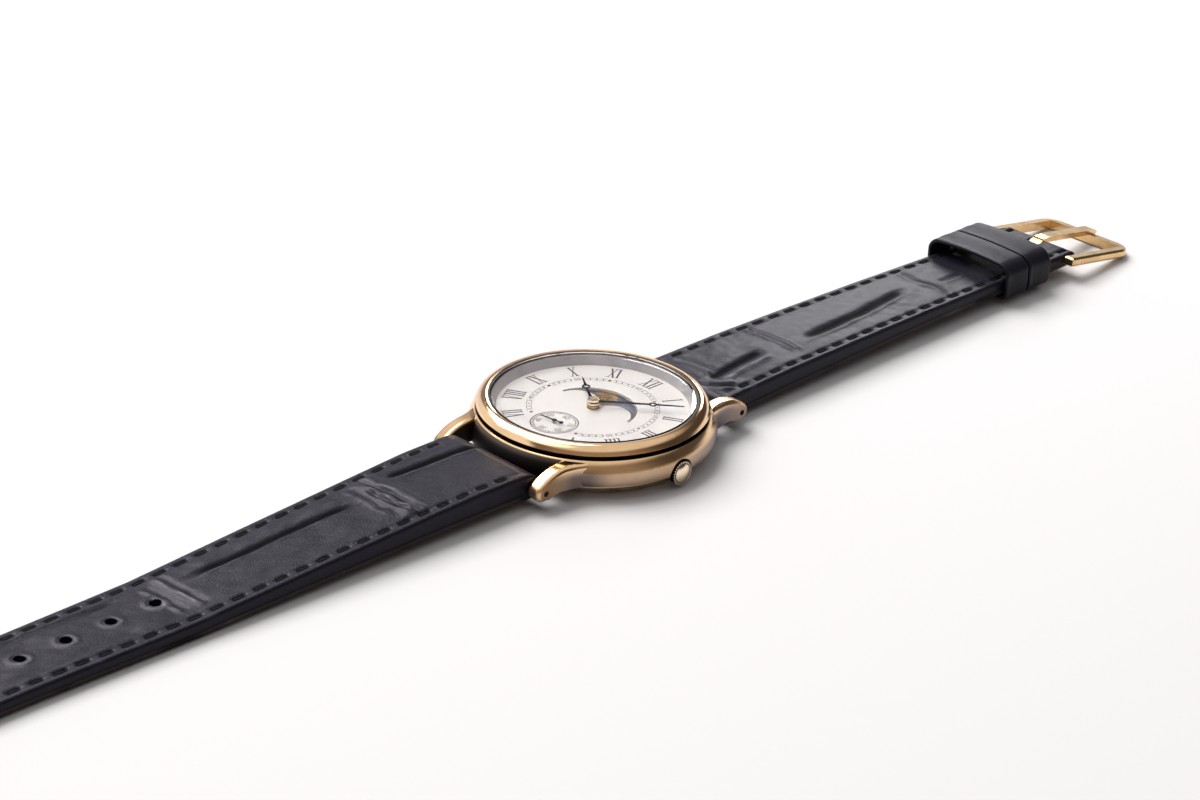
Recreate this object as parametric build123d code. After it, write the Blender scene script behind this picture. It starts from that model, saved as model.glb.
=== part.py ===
# Moon phase watch: round case, quartz movement with small seconds, leather strap with a tongue buckle.
# Lengths are in millimetres. +Z points from the case back to the glass, +Y to twelve o'clock and
# +X to the crown. The origin is the centre of the flat face of the case back.
import os
from math import acos, asin, atan2, cos, degrees, hypot, pi, radians, sin

from build123d import *

os.makedirs("parts", exist_ok=True)

# Clearances
overrun = 1.0  # how far a cutting solid passes the faces it cuts
run_gap = 0.03  # radial clearance of a shaft in its hole
face_gap = 0.05  # clearance between faces that slide past each other
seat_gap = 0.02  # clearance of a part that is pressed or laid in its seat

# Height of the layers, from the case back to the glass
back_thickness = 0.7
train_depth = 2.3
plate_thickness = 1.2
wheel_thickness = 0.14
dial_thickness = 0.4
hand_room = 1.5
glass_thickness = 1.06

back_floor = back_thickness
plate_low = back_floor + train_depth
plate_high = plate_low + plate_thickness
layer_step = wheel_thickness + face_gap
first_layer = plate_high + face_gap
second_layer = first_layer + layer_step
third_layer = second_layer + layer_step
moon_layer = third_layer + layer_step
dial_low = moon_layer + wheel_thickness + 2 * face_gap
dial_high = dial_low + dial_thickness
glass_low = dial_high + hand_room
glass_high = glass_low + glass_thickness

# Case middle
case_bore_radius = 15.5
case_foot_radius = 17.2
case_edge_radius = 18.4
case_side_radius = 18.6
case_top_radius = 17.68
case_top_round = 0.12
case_edge_rise = 0.55
case_side_rise = 1.5
case_foot = 1.75

# Bezel and glass
bezel_radius = 17.5
bezel_lip_radius = 17.41
bezel_neck_radius = 16.85
bezel_rim_radius = 15.98
bezel_arc_bulge = 0.21
bezel_lip_drop = 1.38
bezel_shoulder_drop = 1.2
bezel_rim_rise = 0.06
bezel_groove = 0.6
bezel_ledge = 0.15
glass_radius = 15.4
glass_chamfer = 0.15
gasket_wall = 0.28
gasket_height = 0.9

bezel_lip = glass_high - bezel_lip_drop
case_top = bezel_lip - bezel_groove
bezel_bore_radius = glass_radius + gasket_wall + 2 * seat_gap
ledge_radius = glass_radius - bezel_ledge

# Lugs
lug_gap = 18.0
lug_width = 2.4
lug_hole_radius = 0.45
lug_hole_reach = 20.41  # from the centre of the watch to the spring bar's axis
lug_hole_height = 3.0
lug_tip_radius = 1.4
lug_tip_height = 3.0
lug_tip_reach = 20.55
lug_shoulder_reach = 16.2
lug_belly_reach = 19.0
lug_belly_height = 2.15
lug_root_reach = 12.0
lug_root_drop = 0.1
lug_flare_reach = 17.6
lug_flare_width = 4.2
lug_round = 0.5
lug_outer_round = 0.8

# Case back
back_foot_radius = 15.75
back_skirt_radius = 16.7
back_flange_radius = 17.0
back_edge = 0.3
back_flange_thickness = 0.35
back_wall = 0.45
back_snap_rise = 0.25
back_gasket_width = 0.6
back_gasket_height = 0.4

# Reflector ring and dial
reflector_radius = 15.2
reflector_foot_radius = 14.45
reflector_rim = 0.15
dial_radius = 15.35
window_radius = 7.1
window_drop = 0.85
window_tip = 0.45
bump_radius = 3.18
bump_offset = 3.5
window_collar_radius = 1.4
dial_hole_radius = 0.95
seconds_hole_radius = 0.3
seconds_drop = 8.0  # from the centre of the dial to the small seconds
dot_radius = 0.25
dot_circle_radius = 9.44
dot_height = 0.05
dial_foot_radius = 0.4
dial_foot_circle_radius = 12.2
dial_foot_depth = 1.4
hour_step = 30.0  # degrees from one hour to the next
dial_foot_angle = 118.0

# Hands
minute_angle = 48.5  # degrees clockwise from twelve
hour_angle = 304.0
second_angle = 263.0
hand_thickness = 0.15
hour_hand_length = 9.05
hour_ring_reach = 5.85
hour_ring_radius = 0.62
minute_hand_length = 13.5
minute_ring_reach = 8.85
minute_ring_radius = 0.56
ring_line = 0.2
hand_root_width = 0.52
hand_neck_width = 0.3
hand_point_width = 0.1
hour_hand_rise = 0.5
minute_hand_rise = 0.95
second_hand_rise = 0.35
hour_collet_radius = 1.0
minute_collet_radius = 0.95
collet_height = 0.36
collet_wall = 0.12
second_hand_length = 2.64
second_tail_length = 1.6
second_leaf_radius = 0.32
second_needle_width = 0.1
second_boss_radius = 0.36

# Wheel teeth: heights in modules and widths in shares of the pitch
tooth_tip_share = 0.9
tooth_root_share = 1.15
tip_width_share = 0.12
root_width_share = 0.3

# Train on the back of the plate
train_module = 0.1
third_module = 0.11
centre_module = 0.13
fifth_module = 0.08
pinion_teeth = 8
centre_teeth = 60
third_teeth = 64
fourth_teeth = 40
fifth_teeth = 48
arbor_radius = 0.12
centre_arbor_radius = 0.27
rotor_radius = 0.6
rotor_height = 0.45
stator_hole_radius = 0.85
rotor_x = -3.9
rotor_y = -7.0
train_lift = 1.2  # from the back floor to the third wheel
pinion_length = 0.5
pivot_depth = 0.4
bridge_thickness = 0.35
bridge_lift = 0.35
bridge_round = 1.6

# Dial-side wheels
cannon_module = 0.125
moon_drive_module = 0.12
moon_module = 0.25
cannon_teeth = 12
minute_wheel_teeth = 36
minute_pinion_teeth = 10
hour_teeth = 40
hour_pinion_teeth = 20
idler_teeth = 25
finger_teeth = 40
setting_teeth = 24
moon_teeth = 59
cannon_tube_radius = 0.5
hour_pipe_radius = 0.8
moon_collar_radius = 1.2
post_radius = 0.3
post_depth = 0.6
finger_width = 0.4
jumper_width = 0.5
jumper_length = 4.2
jumper_post_radius = 0.4

# Movement
movement_radius = 13.0
holder_radius = 15.4
pillar_radius = 0.8
screw_radius = 0.35
screw_head_radius = 0.6
screw_head_height = 0.24
screw_slot = 0.16
bridge_screws = ((3.6, -9.6), (-4.9, -0.6), (6.2, -2.3))
board_screws = ((3.2, 10.4), (10.3, 4.9))
battery_radius = 3.4
battery_height = 2.1
battery_x = -5.6
battery_y = 6.6
battery_lift = 0.25
clamp_thickness = 0.1
clamp_width = 2.4
clamp_length = 9.0
board_lift = 0.8
board_thickness = 0.15
board_radius = 12.4
board_corner_x = 0.9
board_corner_y = 2.1
chip_size = 2.2
chip_height = 0.5
chip_x = 3.6
chip_y = 5.4
resonator_radius = 0.6
resonator_length = 5.0
resonator_x = 7.3
resonator_y = 6.6
resonator_turn = -45.0
coil_start = (-11.0, -1.9)
coil_end = (-6.4, -9.3)
coil_radius = 1.0
coil_margin = 1.7
core_width = 1.1
core_thickness = 0.4
stator_offset = 2.6
stator_pad_radius = 0.8
stator_ring_radius = 1.3
stator_lift = 0.8
stator_thickness = 0.45

# Crown and the setting parts
crown_height = 2.42
crown_radius = 1.75
crown_flutes = 28
crown_start = 17.8
crown_rim_length = 0.95
crown_dome_rise = 0.35
crown_face_radius = 1.5
crown_cavity_radius = 1.12
crown_cavity_depth = 0.55
crown_notch_gap = 0.3
crown_notch_floor = 17.35
crown_pull = 0.9
tube_radius = 0.62
tube_bore_radius = 0.5
tube_start = 15.6
tube_end = 18.05
stem_radius = 0.35
stem_start = 8.15
stem_gasket_start = 16.6
stem_gasket_length = 0.3
groove_radius = 0.2
groove_start = 11.0
groove_width = 0.5
clutch_radius = 0.8
clutch_start = 8.6
clutch_length = 1.2
clutch_travel = 0.5
clutch_groove_radius = 0.5
clutch_groove_width = 0.4
lever_arm = 2.2
yoke_arm = 2.4
lever_pin_radius = 0.15
lever_end_radius = 0.32
lever_pivot_radius = 0.55
lever_thickness = 0.2
lever_post_radius = 0.25
lever_lift = 0.6
setting_gear_height = 0.5
setting_arbor_radius = 0.2

# Spring bars and strap
bar_radius = 0.75
bar_tip_radius = 0.4
bar_tip_reach = 10.7
strap_width = 17.4
strap_end_width = 14.2
strap_pad = 4.1  # thickness of the padded strap beside the case
strap_taper_length = 85.0
strap_rest = 1.45  # height of the strap's underside beside the case
strap_crown_share = 0.12  # how much lower the edges are than the middle, of the thickness
lining_thickness = 0.8
lining_inset = 0.15
strap_end_radius = 1.55
fold_share = 0.7  # where the padding meets the fold round the spring bar, of the fold's radius
strap_block_length = 1.8
tail_length = 118.0
tail_round = 6.0
tail_hole_radius = 0.85
tail_hole_from_tip = 13.0  # from the strap's tip to the nearest hole
tail_hole_pitch = 7.3
tail_hole_count = 7
buckle_length = 85.2  # from the spring bar to the buckle's bar
slot_width = 2.6
slot_length = 3.6

# Shares of the length, of the rest height and of the pad's thickness, along each strap piece
tail_shares = (
    (0.085, 1.0, 1.0),
    (0.17, 0.93, 0.9),
    (0.34, 0.62, 0.75),
    (0.51, 0.24, 0.61),
    (0.68, 0.31, 0.56),
    (0.83, 0.34, 0.54),
    (1.0, 0.0, 0.5),
)
head_shares = (
    (0.18, 1.0, 0.86),
    (0.36, 1.24, 0.77),
    (0.56, 1.42, 0.67),
    (0.78, 1.42, 0.59),
    (1.0, 1.36, 0.57),
)
tail_block_shares = (0.97, 1.0)
head_block_shares = (0.72, 0.9)

# Keepers and buckle
keeper_wall = 0.8
keeper_lift = 0.95
keeper_top = 7.6
keeper_side_gap = 0.2  # beside the widest part of the strap that the free keeper reaches
keeper_round = 1.2
keeper_from_bar = 12.9  # from the buckle's bar back to the fixed keeper
fixed_keeper_width = 5.4
free_keeper_width = 5.4
free_keeper_travel = 12.0
keeper_space = 0.4
buckle_bar_radius = 0.5
buckle_leg = 1.7
buckle_leg_gap = 0.3
buckle_reach = 14.4
buckle_rail = 1.8
buckle_heel = 1.2
buckle_thickness = 1.5
buckle_round = 3.2
buckle_edge_round = 0.45
buckle_floor_gap = 0.1
tongue_width = 2.1
tongue_ring_radius = 1.15
tongue_thickness = 0.85
tongue_rise = 0.25


def disc(radius, low, high, x=0, y=0):
    return Pos(x, y, low) * extrude(Circle(radius), high - low)


def ring(inner, outer, low, high, x=0, y=0):
    return Pos(x, y, low) * extrude(Circle(outer) - Circle(inner), high - low)


def block(x, y, z):
    """A box from its ranges along the three axes."""
    sides = (x[1] - x[0], y[1] - y[0], z[1] - z[0])
    return Pos(x[0], y[0], z[0]) * Box(*sides, align=(Align.MIN, Align.MIN, Align.MIN))


def rod(radius, start, end, y=0, z=crown_height):
    """A cylinder along X, on the crown's axis unless another is given."""
    return Pos(start, y, z) * Rot(0, 90, 0) * extrude(Circle(radius), end - start)


def turned(outline):
    """A closed outline of (radius, height) points, turned about the watch's axis."""
    return revolve(make_face(Polyline(*[(r, 0, z) for r, z in outline], close=True)), Axis.Z)


def strip(first, first_radius, second, second_radius):
    """The flat outline that wraps two round pads."""
    angle = atan2(second[1] - first[1], second[0] - first[0])
    length = hypot(second[0] - first[0], second[1] - first[1])
    lean = acos((first_radius - second_radius) / length)
    corners = [
        (pad[0] + radius * cos(angle + side * lean), pad[1] + radius * sin(angle + side * lean))
        for pad, radius, side in (
            (first, first_radius, 1),
            (first, first_radius, -1),
            (second, second_radius, -1),
            (second, second_radius, 1),
        )
    ]
    web = make_face(Polyline(*corners, close=True))
    return web + Pos(*first) * Circle(first_radius) + Pos(*second) * Circle(second_radius)


def gear(teeth, module, low, bore=0, phase=0, x=0, y=0, height=wheel_thickness):
    """A spur wheel with straight-sided teeth. Its first tooth points at the phase angle."""
    pitch_radius = teeth * module / 2
    root = pitch_radius - tooth_root_share * module
    tip = pitch_radius + tooth_tip_share * module
    before = [(root, -root_width_share), (tip, -tip_width_share)]
    flanks = before + [(radius, -share) for radius, share in reversed(before)]
    points = []
    for tooth in range(teeth):
        for radius, share in flanks:
            angle = phase + (tooth + share) * 2 * pi / teeth
            points.append((radius * cos(angle), radius * sin(angle)))
    face = make_face(Polyline(*points, close=True))
    if bore:
        face -= Circle(bore)
    return Pos(x, y, low) * extrude(face, height)


def mesh_phase(centre, other, phase, teeth, other_teeth):
    """The phase that puts a gap of the other wheel where a tooth of the first one meets it."""
    line = atan2(other[1] - centre[1], other[0] - centre[0])
    return line + pi + (line - phase) * teeth / other_teeth + pi / other_teeth


def pitch_sum(teeth, other_teeth, module):
    return (teeth + other_teeth) * module / 2


def meet(first, second, first_reach, second_reach, side):
    """The point at the two distances from two points, on the chosen side of the line between them."""
    length = hypot(second[0] - first[0], second[1] - first[1])
    along = (first_reach**2 - second_reach**2 + length**2) / (2 * length)
    off = side * (first_reach**2 - along**2) ** 0.5
    ux, uy = (second[0] - first[0]) / length, (second[1] - first[1]) / length
    return (first[0] + along * ux - off * uy, first[1] + along * uy + off * ux)


def lug():
    """The lug at the crown side of twelve o'clock: a curved side outline cut to its plan."""
    inner = lug_gap / 2
    outer = inner + lug_width
    flare = inner + lug_flare_width
    high = case_top - case_top_round - lug_root_drop
    low = lug_belly_height + lug_root_drop
    reach, rise = lug_tip_reach - lug_shoulder_reach, high - lug_tip_height
    back_radius = (reach**2 + rise**2 - lug_tip_radius**2) / (2 * (rise - lug_tip_radius))
    lean = atan2(reach, back_radius - rise)

    def on_back(turn):
        return (0, lug_shoulder_reach + back_radius * sin(turn), high - back_radius * (1 - cos(turn)))

    root_high, shoulder = (0, lug_root_reach, high), (0, lug_shoulder_reach, high)
    root_low, belly = (0, lug_root_reach, low), (0, lug_shoulder_reach, low)
    tip_end = (0, lug_tip_reach + lug_tip_radius, lug_tip_height)
    tip_low = (0, lug_tip_reach, lug_tip_height - lug_tip_radius)
    side = make_face(
        [
            Line(root_high, shoulder),
            ThreePointArc(shoulder, on_back(lean / 2), on_back(lean)),
            ThreePointArc(on_back(lean), tip_end, tip_low),
            ThreePointArc(tip_low, (0, lug_belly_reach, lug_belly_height), belly),
            Polyline(belly, root_low, root_high),
        ]
    )
    end = lug_tip_reach + lug_tip_radius + overrun
    plan = make_face(
        [
            Polyline((inner, lug_root_reach), (inner, end), (outer, end), (outer, lug_flare_reach)),
            TangentArc((outer, lug_flare_reach), (flare, lug_root_reach), tangent=(0, -1)),
            Line((flare, lug_root_reach), (inner, lug_root_reach)),
        ]
    )
    solid = extrude(side, flare + overrun, dir=(1, 0, 0)) & extrude(plan, case_top + overrun)

    def top_edges(x_low, x_high):
        tops = solid.edges().filter_by(lambda e: e.center().Z > lug_hole_height)
        tops = tops.filter_by(lambda e: e.center().Y > lug_root_reach + lug_round)
        return tops.filter_by(lambda e: x_low < e.center().X < x_high)

    solid = fillet(top_edges(inner - lug_round, inner + lug_round), lug_round)
    return fillet(top_edges(outer - lug_round, flare + lug_round), lug_outer_round)


def mirrored(shape, *planes):
    """The shape with its mirror images across each plane in turn."""
    for plane in planes:
        shape += mirror(shape, about=plane)
    return shape


def case_middle():
    top_edge = case_top - case_top_round
    wall = make_face(
        [
            Polyline(
                (case_top_radius, 0, top_edge),
                (case_top_radius - case_top_round, 0, case_top),
                (bezel_neck_radius + face_gap, 0, case_top),
                (bezel_neck_radius + face_gap, 0, dial_high + face_gap),
                (case_bore_radius, 0, dial_high + face_gap),
                (case_bore_radius, 0, case_foot),
                (case_foot_radius, 0, case_foot),
                (case_edge_radius, 0, case_foot + case_edge_rise),
            ),
            ThreePointArc(
                (case_edge_radius, 0, case_foot + case_edge_rise),
                (case_side_radius, 0, case_foot + case_side_rise),
                (case_top_radius, 0, top_edge),
            ),
        ]
    )
    body = revolve(wall, Axis.Z)
    lugs = mirrored(lug(), Plane.YZ, Plane.XZ)
    core = disc(bezel_neck_radius + face_gap, case_foot - overrun, case_top + overrun)
    body += lugs - core
    for side in (-1, 1):
        reach = lug_gap / 2 + lug_width + overrun
        body -= rod(lug_hole_radius, -reach, reach, y=side * lug_hole_reach, z=lug_hole_height)
    body -= rod(crown_radius + crown_notch_gap, crown_notch_floor, case_side_radius + overrun)
    return body - rod(tube_radius, case_bore_radius - overrun, case_side_radius + overrun)


def bezel():
    shoulder = (bezel_radius, glass_high - bezel_shoulder_drop)
    rim = (bezel_rim_radius, glass_high + bezel_rim_rise)
    bulge = ((shoulder[0] + rim[0]) / 2 + bezel_arc_bulge, (shoulder[1] + rim[1]) / 2 + bezel_arc_bulge)
    wall = make_face(
        [
            Polyline(
                (rim[0], 0, rim[1]),
                (bezel_bore_radius, 0, glass_high),
                (bezel_bore_radius, 0, glass_low),
                (ledge_radius, 0, glass_low),
                (ledge_radius, 0, dial_high + 2 * face_gap),
                (bezel_neck_radius, 0, dial_high + 2 * face_gap),
                (bezel_neck_radius, 0, bezel_lip),
                (bezel_lip_radius, 0, bezel_lip),
                (shoulder[0], 0, shoulder[1]),
            ),
            ThreePointArc((shoulder[0], 0, shoulder[1]), (bulge[0], 0, bulge[1]), (rim[0], 0, rim[1])),
        ]
    )
    return revolve(wall, Axis.Z)


def crystal():
    return turned(
        [
            (0, glass_low),
            (glass_radius, glass_low),
            (glass_radius, glass_high - glass_chamfer),
            (glass_radius - glass_chamfer, glass_high),
            (0, glass_high),
        ]
    )


def crystal_gasket():
    inner = glass_radius + seat_gap
    return ring(inner, inner + gasket_wall, glass_low, glass_low + gasket_height)


def reflector_ring():
    top = glass_low - face_gap
    outline = [
        (reflector_foot_radius, dial_high),
        (reflector_radius, dial_high),
        (reflector_radius, top),
        (reflector_radius - reflector_rim, top),
    ]
    return turned(outline)


def case_back():
    flange = case_foot - seat_gap
    groove = flange - back_gasket_height
    snap = case_bore_radius - face_gap
    outline = [
        (0, 0),
        (back_foot_radius, 0),
        (back_foot_radius + back_edge, back_edge),
        (back_skirt_radius, flange - 2 * back_flange_thickness),
        (back_flange_radius, flange - back_flange_thickness),
        (back_flange_radius, flange),
        (snap + 2 * seat_gap + back_gasket_width + back_wall / 2, flange),
        (snap + 2 * seat_gap + back_gasket_width + back_wall / 2, groove),
        (snap, groove),
        (snap, case_foot + back_snap_rise),
        (snap - back_wall, case_foot + back_snap_rise),
        (snap - back_wall, back_floor),
        (0, back_floor),
    ]
    return turned(outline)


def case_back_gasket():
    inner = case_bore_radius + seat_gap
    flange = case_foot - seat_gap
    return ring(inner, inner + back_gasket_width, flange - back_gasket_height, flange)


def moon_window():
    """The flat outline of the dial's opening: a wide arc above, two half moons below."""
    arc = Pos(0, -window_drop) * Circle(window_radius)
    span = 2 * window_radius
    below = Pos(0, window_tip - span) * Rectangle(2 * span, 2 * span)
    bumps = Pos(bump_offset, 0) * Circle(bump_radius) + Pos(-bump_offset, 0) * Circle(bump_radius)
    return arc - below - bumps - Circle(window_collar_radius)


def dial():
    face = Circle(dial_radius) - moon_window() - Circle(dial_hole_radius)
    face -= Pos(0, -seconds_drop) * Circle(seconds_hole_radius)
    return Pos(0, 0, dial_low) * extrude(face, dial_thickness)


def dial_foot_places():
    turns = (radians(dial_foot_angle), radians(dial_foot_angle) + pi)
    return [(dial_foot_circle_radius * cos(a), dial_foot_circle_radius * sin(a)) for a in turns]


def dial_feet():
    low = dial_low - dial_foot_depth
    return Part() + [disc(dial_foot_radius, low, dial_low, x, y) for x, y in dial_foot_places()]


def hour_dots():
    """Six applied dots, one at each odd hour."""
    dots = []
    for hour in range(1, 12, 2):
        turn = radians(hour * hour_step)
        x, y = dot_circle_radius * sin(turn), dot_circle_radius * cos(turn)
        dots.append(disc(dot_radius, dial_high, dial_high + dot_height, x, y))
    return Part() + dots


def ring_hand(length, ring_reach, ring_radius, bore, low, turn):
    """A hand with a ring near its point. The turn is in degrees clockwise from twelve."""
    inner = ring_radius - ring_line
    shaft = make_face(
        Polyline(
            (-hand_root_width / 2, 0),
            (hand_root_width / 2, 0),
            (hand_neck_width / 2, ring_reach - inner),
            (-hand_neck_width / 2, ring_reach - inner),
            close=True,
        )
    )
    point = make_face(
        Polyline(
            (-ring_line, ring_reach + inner),
            (ring_line, ring_reach + inner),
            (hand_point_width / 2, length),
            (-hand_point_width / 2, length),
            close=True,
        )
    )
    face = shaft + point + Pos(0, ring_reach) * Circle(ring_radius) + Circle(bore + ring_line)
    face -= Pos(0, ring_reach) * Circle(inner)
    face -= Circle(bore)
    return Pos(0, 0, low) * Rot(0, 0, -turn) * extrude(face, hand_thickness)


hour_hand_low = dial_high + hour_hand_rise
minute_hand_low = dial_high + minute_hand_rise
second_hand_low = dial_high + second_hand_rise


def hour_hand():
    sizes = (hour_hand_length, hour_ring_reach, hour_ring_radius, hour_pipe_radius)
    return ring_hand(*sizes, hour_hand_low, hour_angle)


def minute_hand():
    sizes = (minute_hand_length, minute_ring_reach, minute_ring_radius, cannon_tube_radius)
    return ring_hand(*sizes, minute_hand_low, minute_angle)


def hour_collet():
    low = hour_hand_low + hand_thickness
    return ring(hour_pipe_radius, hour_collet_radius, low, minute_hand_low - face_gap)


def minute_collet():
    low = minute_hand_low + hand_thickness
    cap = disc(minute_collet_radius, low, minute_hand_low + collet_height)
    return cap - disc(cannon_tube_radius, low - overrun, minute_hand_low + collet_height - collet_wall)


def seconds_hand():
    needle = make_face(
        Polyline(
            (-second_needle_width, -second_tail_length),
            (second_needle_width, -second_tail_length),
            (second_needle_width / 2, second_hand_length),
            (-second_needle_width / 2, second_hand_length),
            close=True,
        )
    )
    leaf = Pos(0, second_leaf_radius - second_tail_length) * Circle(second_leaf_radius)
    face = needle + leaf + Circle(second_boss_radius) - Circle(arbor_radius)
    return Pos(0, -seconds_drop, second_hand_low) * Rot(0, 0, -second_angle) * extrude(face, hand_thickness)


# Places of the wheels, worked out from their teeth
centre_place = (0, 0)
fourth_place = (0, -seconds_drop)
rotor_place = (rotor_x, rotor_y)
third_place = meet(
    centre_place,
    fourth_place,
    pitch_sum(pinion_teeth, centre_teeth, centre_module),
    pitch_sum(pinion_teeth, third_teeth, third_module),
    1,
)
fifth_place = meet(
    rotor_place,
    fourth_place,
    pitch_sum(pinion_teeth, fifth_teeth, fifth_module),
    pitch_sum(pinion_teeth, fourth_teeth, train_module),
    -1,
)
hour_module = cannon_module * (cannon_teeth + minute_wheel_teeth) / (minute_pinion_teeth + hour_teeth)
minute_wheel_place = (pitch_sum(cannon_teeth, minute_wheel_teeth, cannon_module), 0)
setting_place = (minute_wheel_place[0] + pitch_sum(minute_wheel_teeth, setting_teeth, cannon_module), 0)
inner_idler_place = (-pitch_sum(hour_pinion_teeth, idler_teeth, moon_drive_module), 0)
outer_idler_place = (inner_idler_place[0] - pitch_sum(idler_teeth, idler_teeth, moon_drive_module), 0)
finger_place = (outer_idler_place[0] - pitch_sum(idler_teeth, finger_teeth, moon_drive_module), 0)
inner_idler_phase = mesh_phase(centre_place, inner_idler_place, 0, hour_pinion_teeth, idler_teeth)
outer_idler_phase = mesh_phase(
    inner_idler_place,
    outer_idler_place,
    inner_idler_phase,
    idler_teeth,
    idler_teeth,
)
finger_phase = mesh_phase(outer_idler_place, finger_place, outer_idler_phase, idler_teeth, finger_teeth)
moon_tip_radius = moon_module * (moon_teeth / 2 + tooth_tip_share)

third_level = back_floor + train_lift
centre_level = third_level + pinion_length + face_gap * 2
fifth_level = third_level + wheel_thickness + 2 * face_gap
bridge_low = back_floor + bridge_lift
bridge_high = bridge_low + bridge_thickness
bar_end = plate_low + pivot_depth
stator_low = back_floor + stator_lift
stator_high = stator_low + stator_thickness


def arbor(place, radius=arbor_radius, top=bar_end):
    return disc(radius, bridge_low, top, *place)


def centre_wheel():
    wheel = gear(centre_teeth, centre_module, centre_level)
    return wheel + arbor(centre_place, centre_arbor_radius, minute_hand_low)


def third_wheel():
    x, y = third_place
    phase = mesh_phase(centre_place, third_place, 0, centre_teeth, pinion_teeth)
    low = centre_level - pinion_length / 4
    pinion = gear(pinion_teeth, centre_module, low, phase=phase, x=x, y=y, height=pinion_length)
    wheel = gear(third_teeth, third_module, third_level, x=x, y=y)
    return wheel + pinion + arbor(third_place)


def fourth_wheel():
    phase = mesh_phase(third_place, fourth_place, 0, third_teeth, pinion_teeth)
    pinion_low = third_level - wheel_thickness
    height = fifth_level - face_gap - pinion_low
    pinion = gear(pinion_teeth, third_module, pinion_low, phase=phase, y=fourth_place[1], height=height)
    wheel = gear(fourth_teeth, train_module, centre_level, y=fourth_place[1])
    return wheel + pinion + arbor(fourth_place, top=second_hand_low + hand_thickness)


def fifth_wheel():
    x, y = fifth_place
    phase = mesh_phase(fourth_place, fifth_place, 0, fourth_teeth, pinion_teeth)
    pinion_low = centre_level - pinion_length / 4
    pinion = gear(pinion_teeth, train_module, pinion_low, phase=phase, x=x, y=y, height=pinion_length)
    return gear(fifth_teeth, fifth_module, fifth_level, x=x, y=y) + pinion + arbor(fifth_place)


def rotor():
    x, y = rotor_place
    phase = mesh_phase(fifth_place, rotor_place, 0, fifth_teeth, pinion_teeth)
    pinion_low = stator_high + face_gap
    pinion = gear(pinion_teeth, fifth_module, pinion_low, phase=phase, x=x, y=y, height=pinion_length)
    magnet = disc(rotor_radius, stator_high - rotor_height, stator_high, x, y)
    return magnet + pinion + arbor(rotor_place)


def cannon_pinion():
    bore = centre_arbor_radius + run_gap
    teeth = gear(cannon_teeth, cannon_module, first_layer, bore=bore)
    return teeth + ring(bore, cannon_tube_radius, first_layer, minute_hand_low + collet_height - collet_wall)


def minute_wheel():
    x, y = minute_wheel_place
    phase = mesh_phase(centre_place, minute_wheel_place, 0, cannon_teeth, minute_wheel_teeth)
    wheel = gear(minute_wheel_teeth, cannon_module, first_layer, phase=phase, x=x, y=y)
    pinion = gear(minute_pinion_teeth, hour_module, second_layer - face_gap, x=x, y=y, height=layer_step)
    post = disc(post_radius, plate_high - post_depth, first_layer, x, y)
    return wheel + pinion + post


def hour_wheel():
    bore = cannon_tube_radius + run_gap
    phase = mesh_phase(minute_wheel_place, centre_place, 0, minute_pinion_teeth, hour_teeth)
    wheel = gear(hour_teeth, hour_module, second_layer, bore=bore, phase=phase)
    pinion = gear(hour_pinion_teeth, moon_drive_module, third_layer - face_gap, bore=bore, height=layer_step)
    collar = ring(bore, moon_collar_radius, moon_layer - face_gap / 2, dial_low - face_gap)
    pipe = ring(bore, hour_pipe_radius, third_layer, minute_hand_low - face_gap)
    return wheel + pinion + collar + pipe


def moon_idler(place, phase):
    wheel = gear(idler_teeth, moon_drive_module, third_layer, phase=phase, x=place[0], y=place[1])
    return wheel + disc(post_radius, plate_high - post_depth, third_layer, *place)


def moon_finger_wheel():
    """One turn a day. Its finger reaches up beside the moon disc's teeth."""
    x, y = finger_place
    wheel = gear(finger_teeth, moon_drive_module, third_layer, phase=finger_phase, x=x, y=y)
    reach = x + abs(x) - moon_tip_radius - face_gap
    top = moon_layer + wheel_thickness
    low = third_layer + wheel_thickness
    finger = block((x, reach), (-finger_width / 2, finger_width / 2), (low, top))
    boss = disc(2 * post_radius, low, top, x, y)
    return wheel + finger + boss + disc(post_radius, plate_high - post_depth, third_layer, x, y)


def moon_disc():
    return gear(moon_teeth, moon_module, moon_layer, bore=moon_collar_radius + run_gap)


def moon_jumper():
    """A thin spring whose beak rests beside a gap of the moon disc, at the top."""
    tip = (0, moon_tip_radius + face_gap + jumper_width / 2)
    foot = (jumper_length, tip[1] + jumper_width)
    blade = strip(tip, jumper_width / 2, foot, jumper_post_radius + jumper_width / 2)
    spring = Pos(0, 0, moon_layer) * extrude(blade, wheel_thickness)
    return spring + disc(jumper_post_radius, plate_high, moon_layer, *foot)


def setting_wheel():
    x, y = setting_place
    minute_phase = mesh_phase(centre_place, minute_wheel_place, 0, cannon_teeth, minute_wheel_teeth)
    phase = mesh_phase(minute_wheel_place, setting_place, minute_phase, minute_wheel_teeth, setting_teeth)
    upper = gear(setting_teeth, cannon_module, first_layer, phase=phase, x=x, y=y)
    reach = clutch_start - clutch_travel - face_gap - x
    module = reach / (setting_teeth / 2 + tooth_tip_share)
    low = crown_height - setting_gear_height / 2
    lower = gear(setting_teeth, module, low, x=x, y=y, height=setting_gear_height)
    return upper + lower + disc(setting_arbor_radius, low, first_layer, x, y)


def clutch_wheel():
    middle = clutch_start + clutch_length / 2
    body = rod(clutch_radius, clutch_start, clutch_start + clutch_length)
    half = clutch_groove_width / 2
    groove = rod(clutch_radius + overrun, middle - half, middle + half)
    body -= groove - rod(clutch_groove_radius, middle - half, middle + half)
    return body - rod(stem_radius + run_gap, clutch_start - overrun, clutch_start + clutch_length + overrun)


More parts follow.
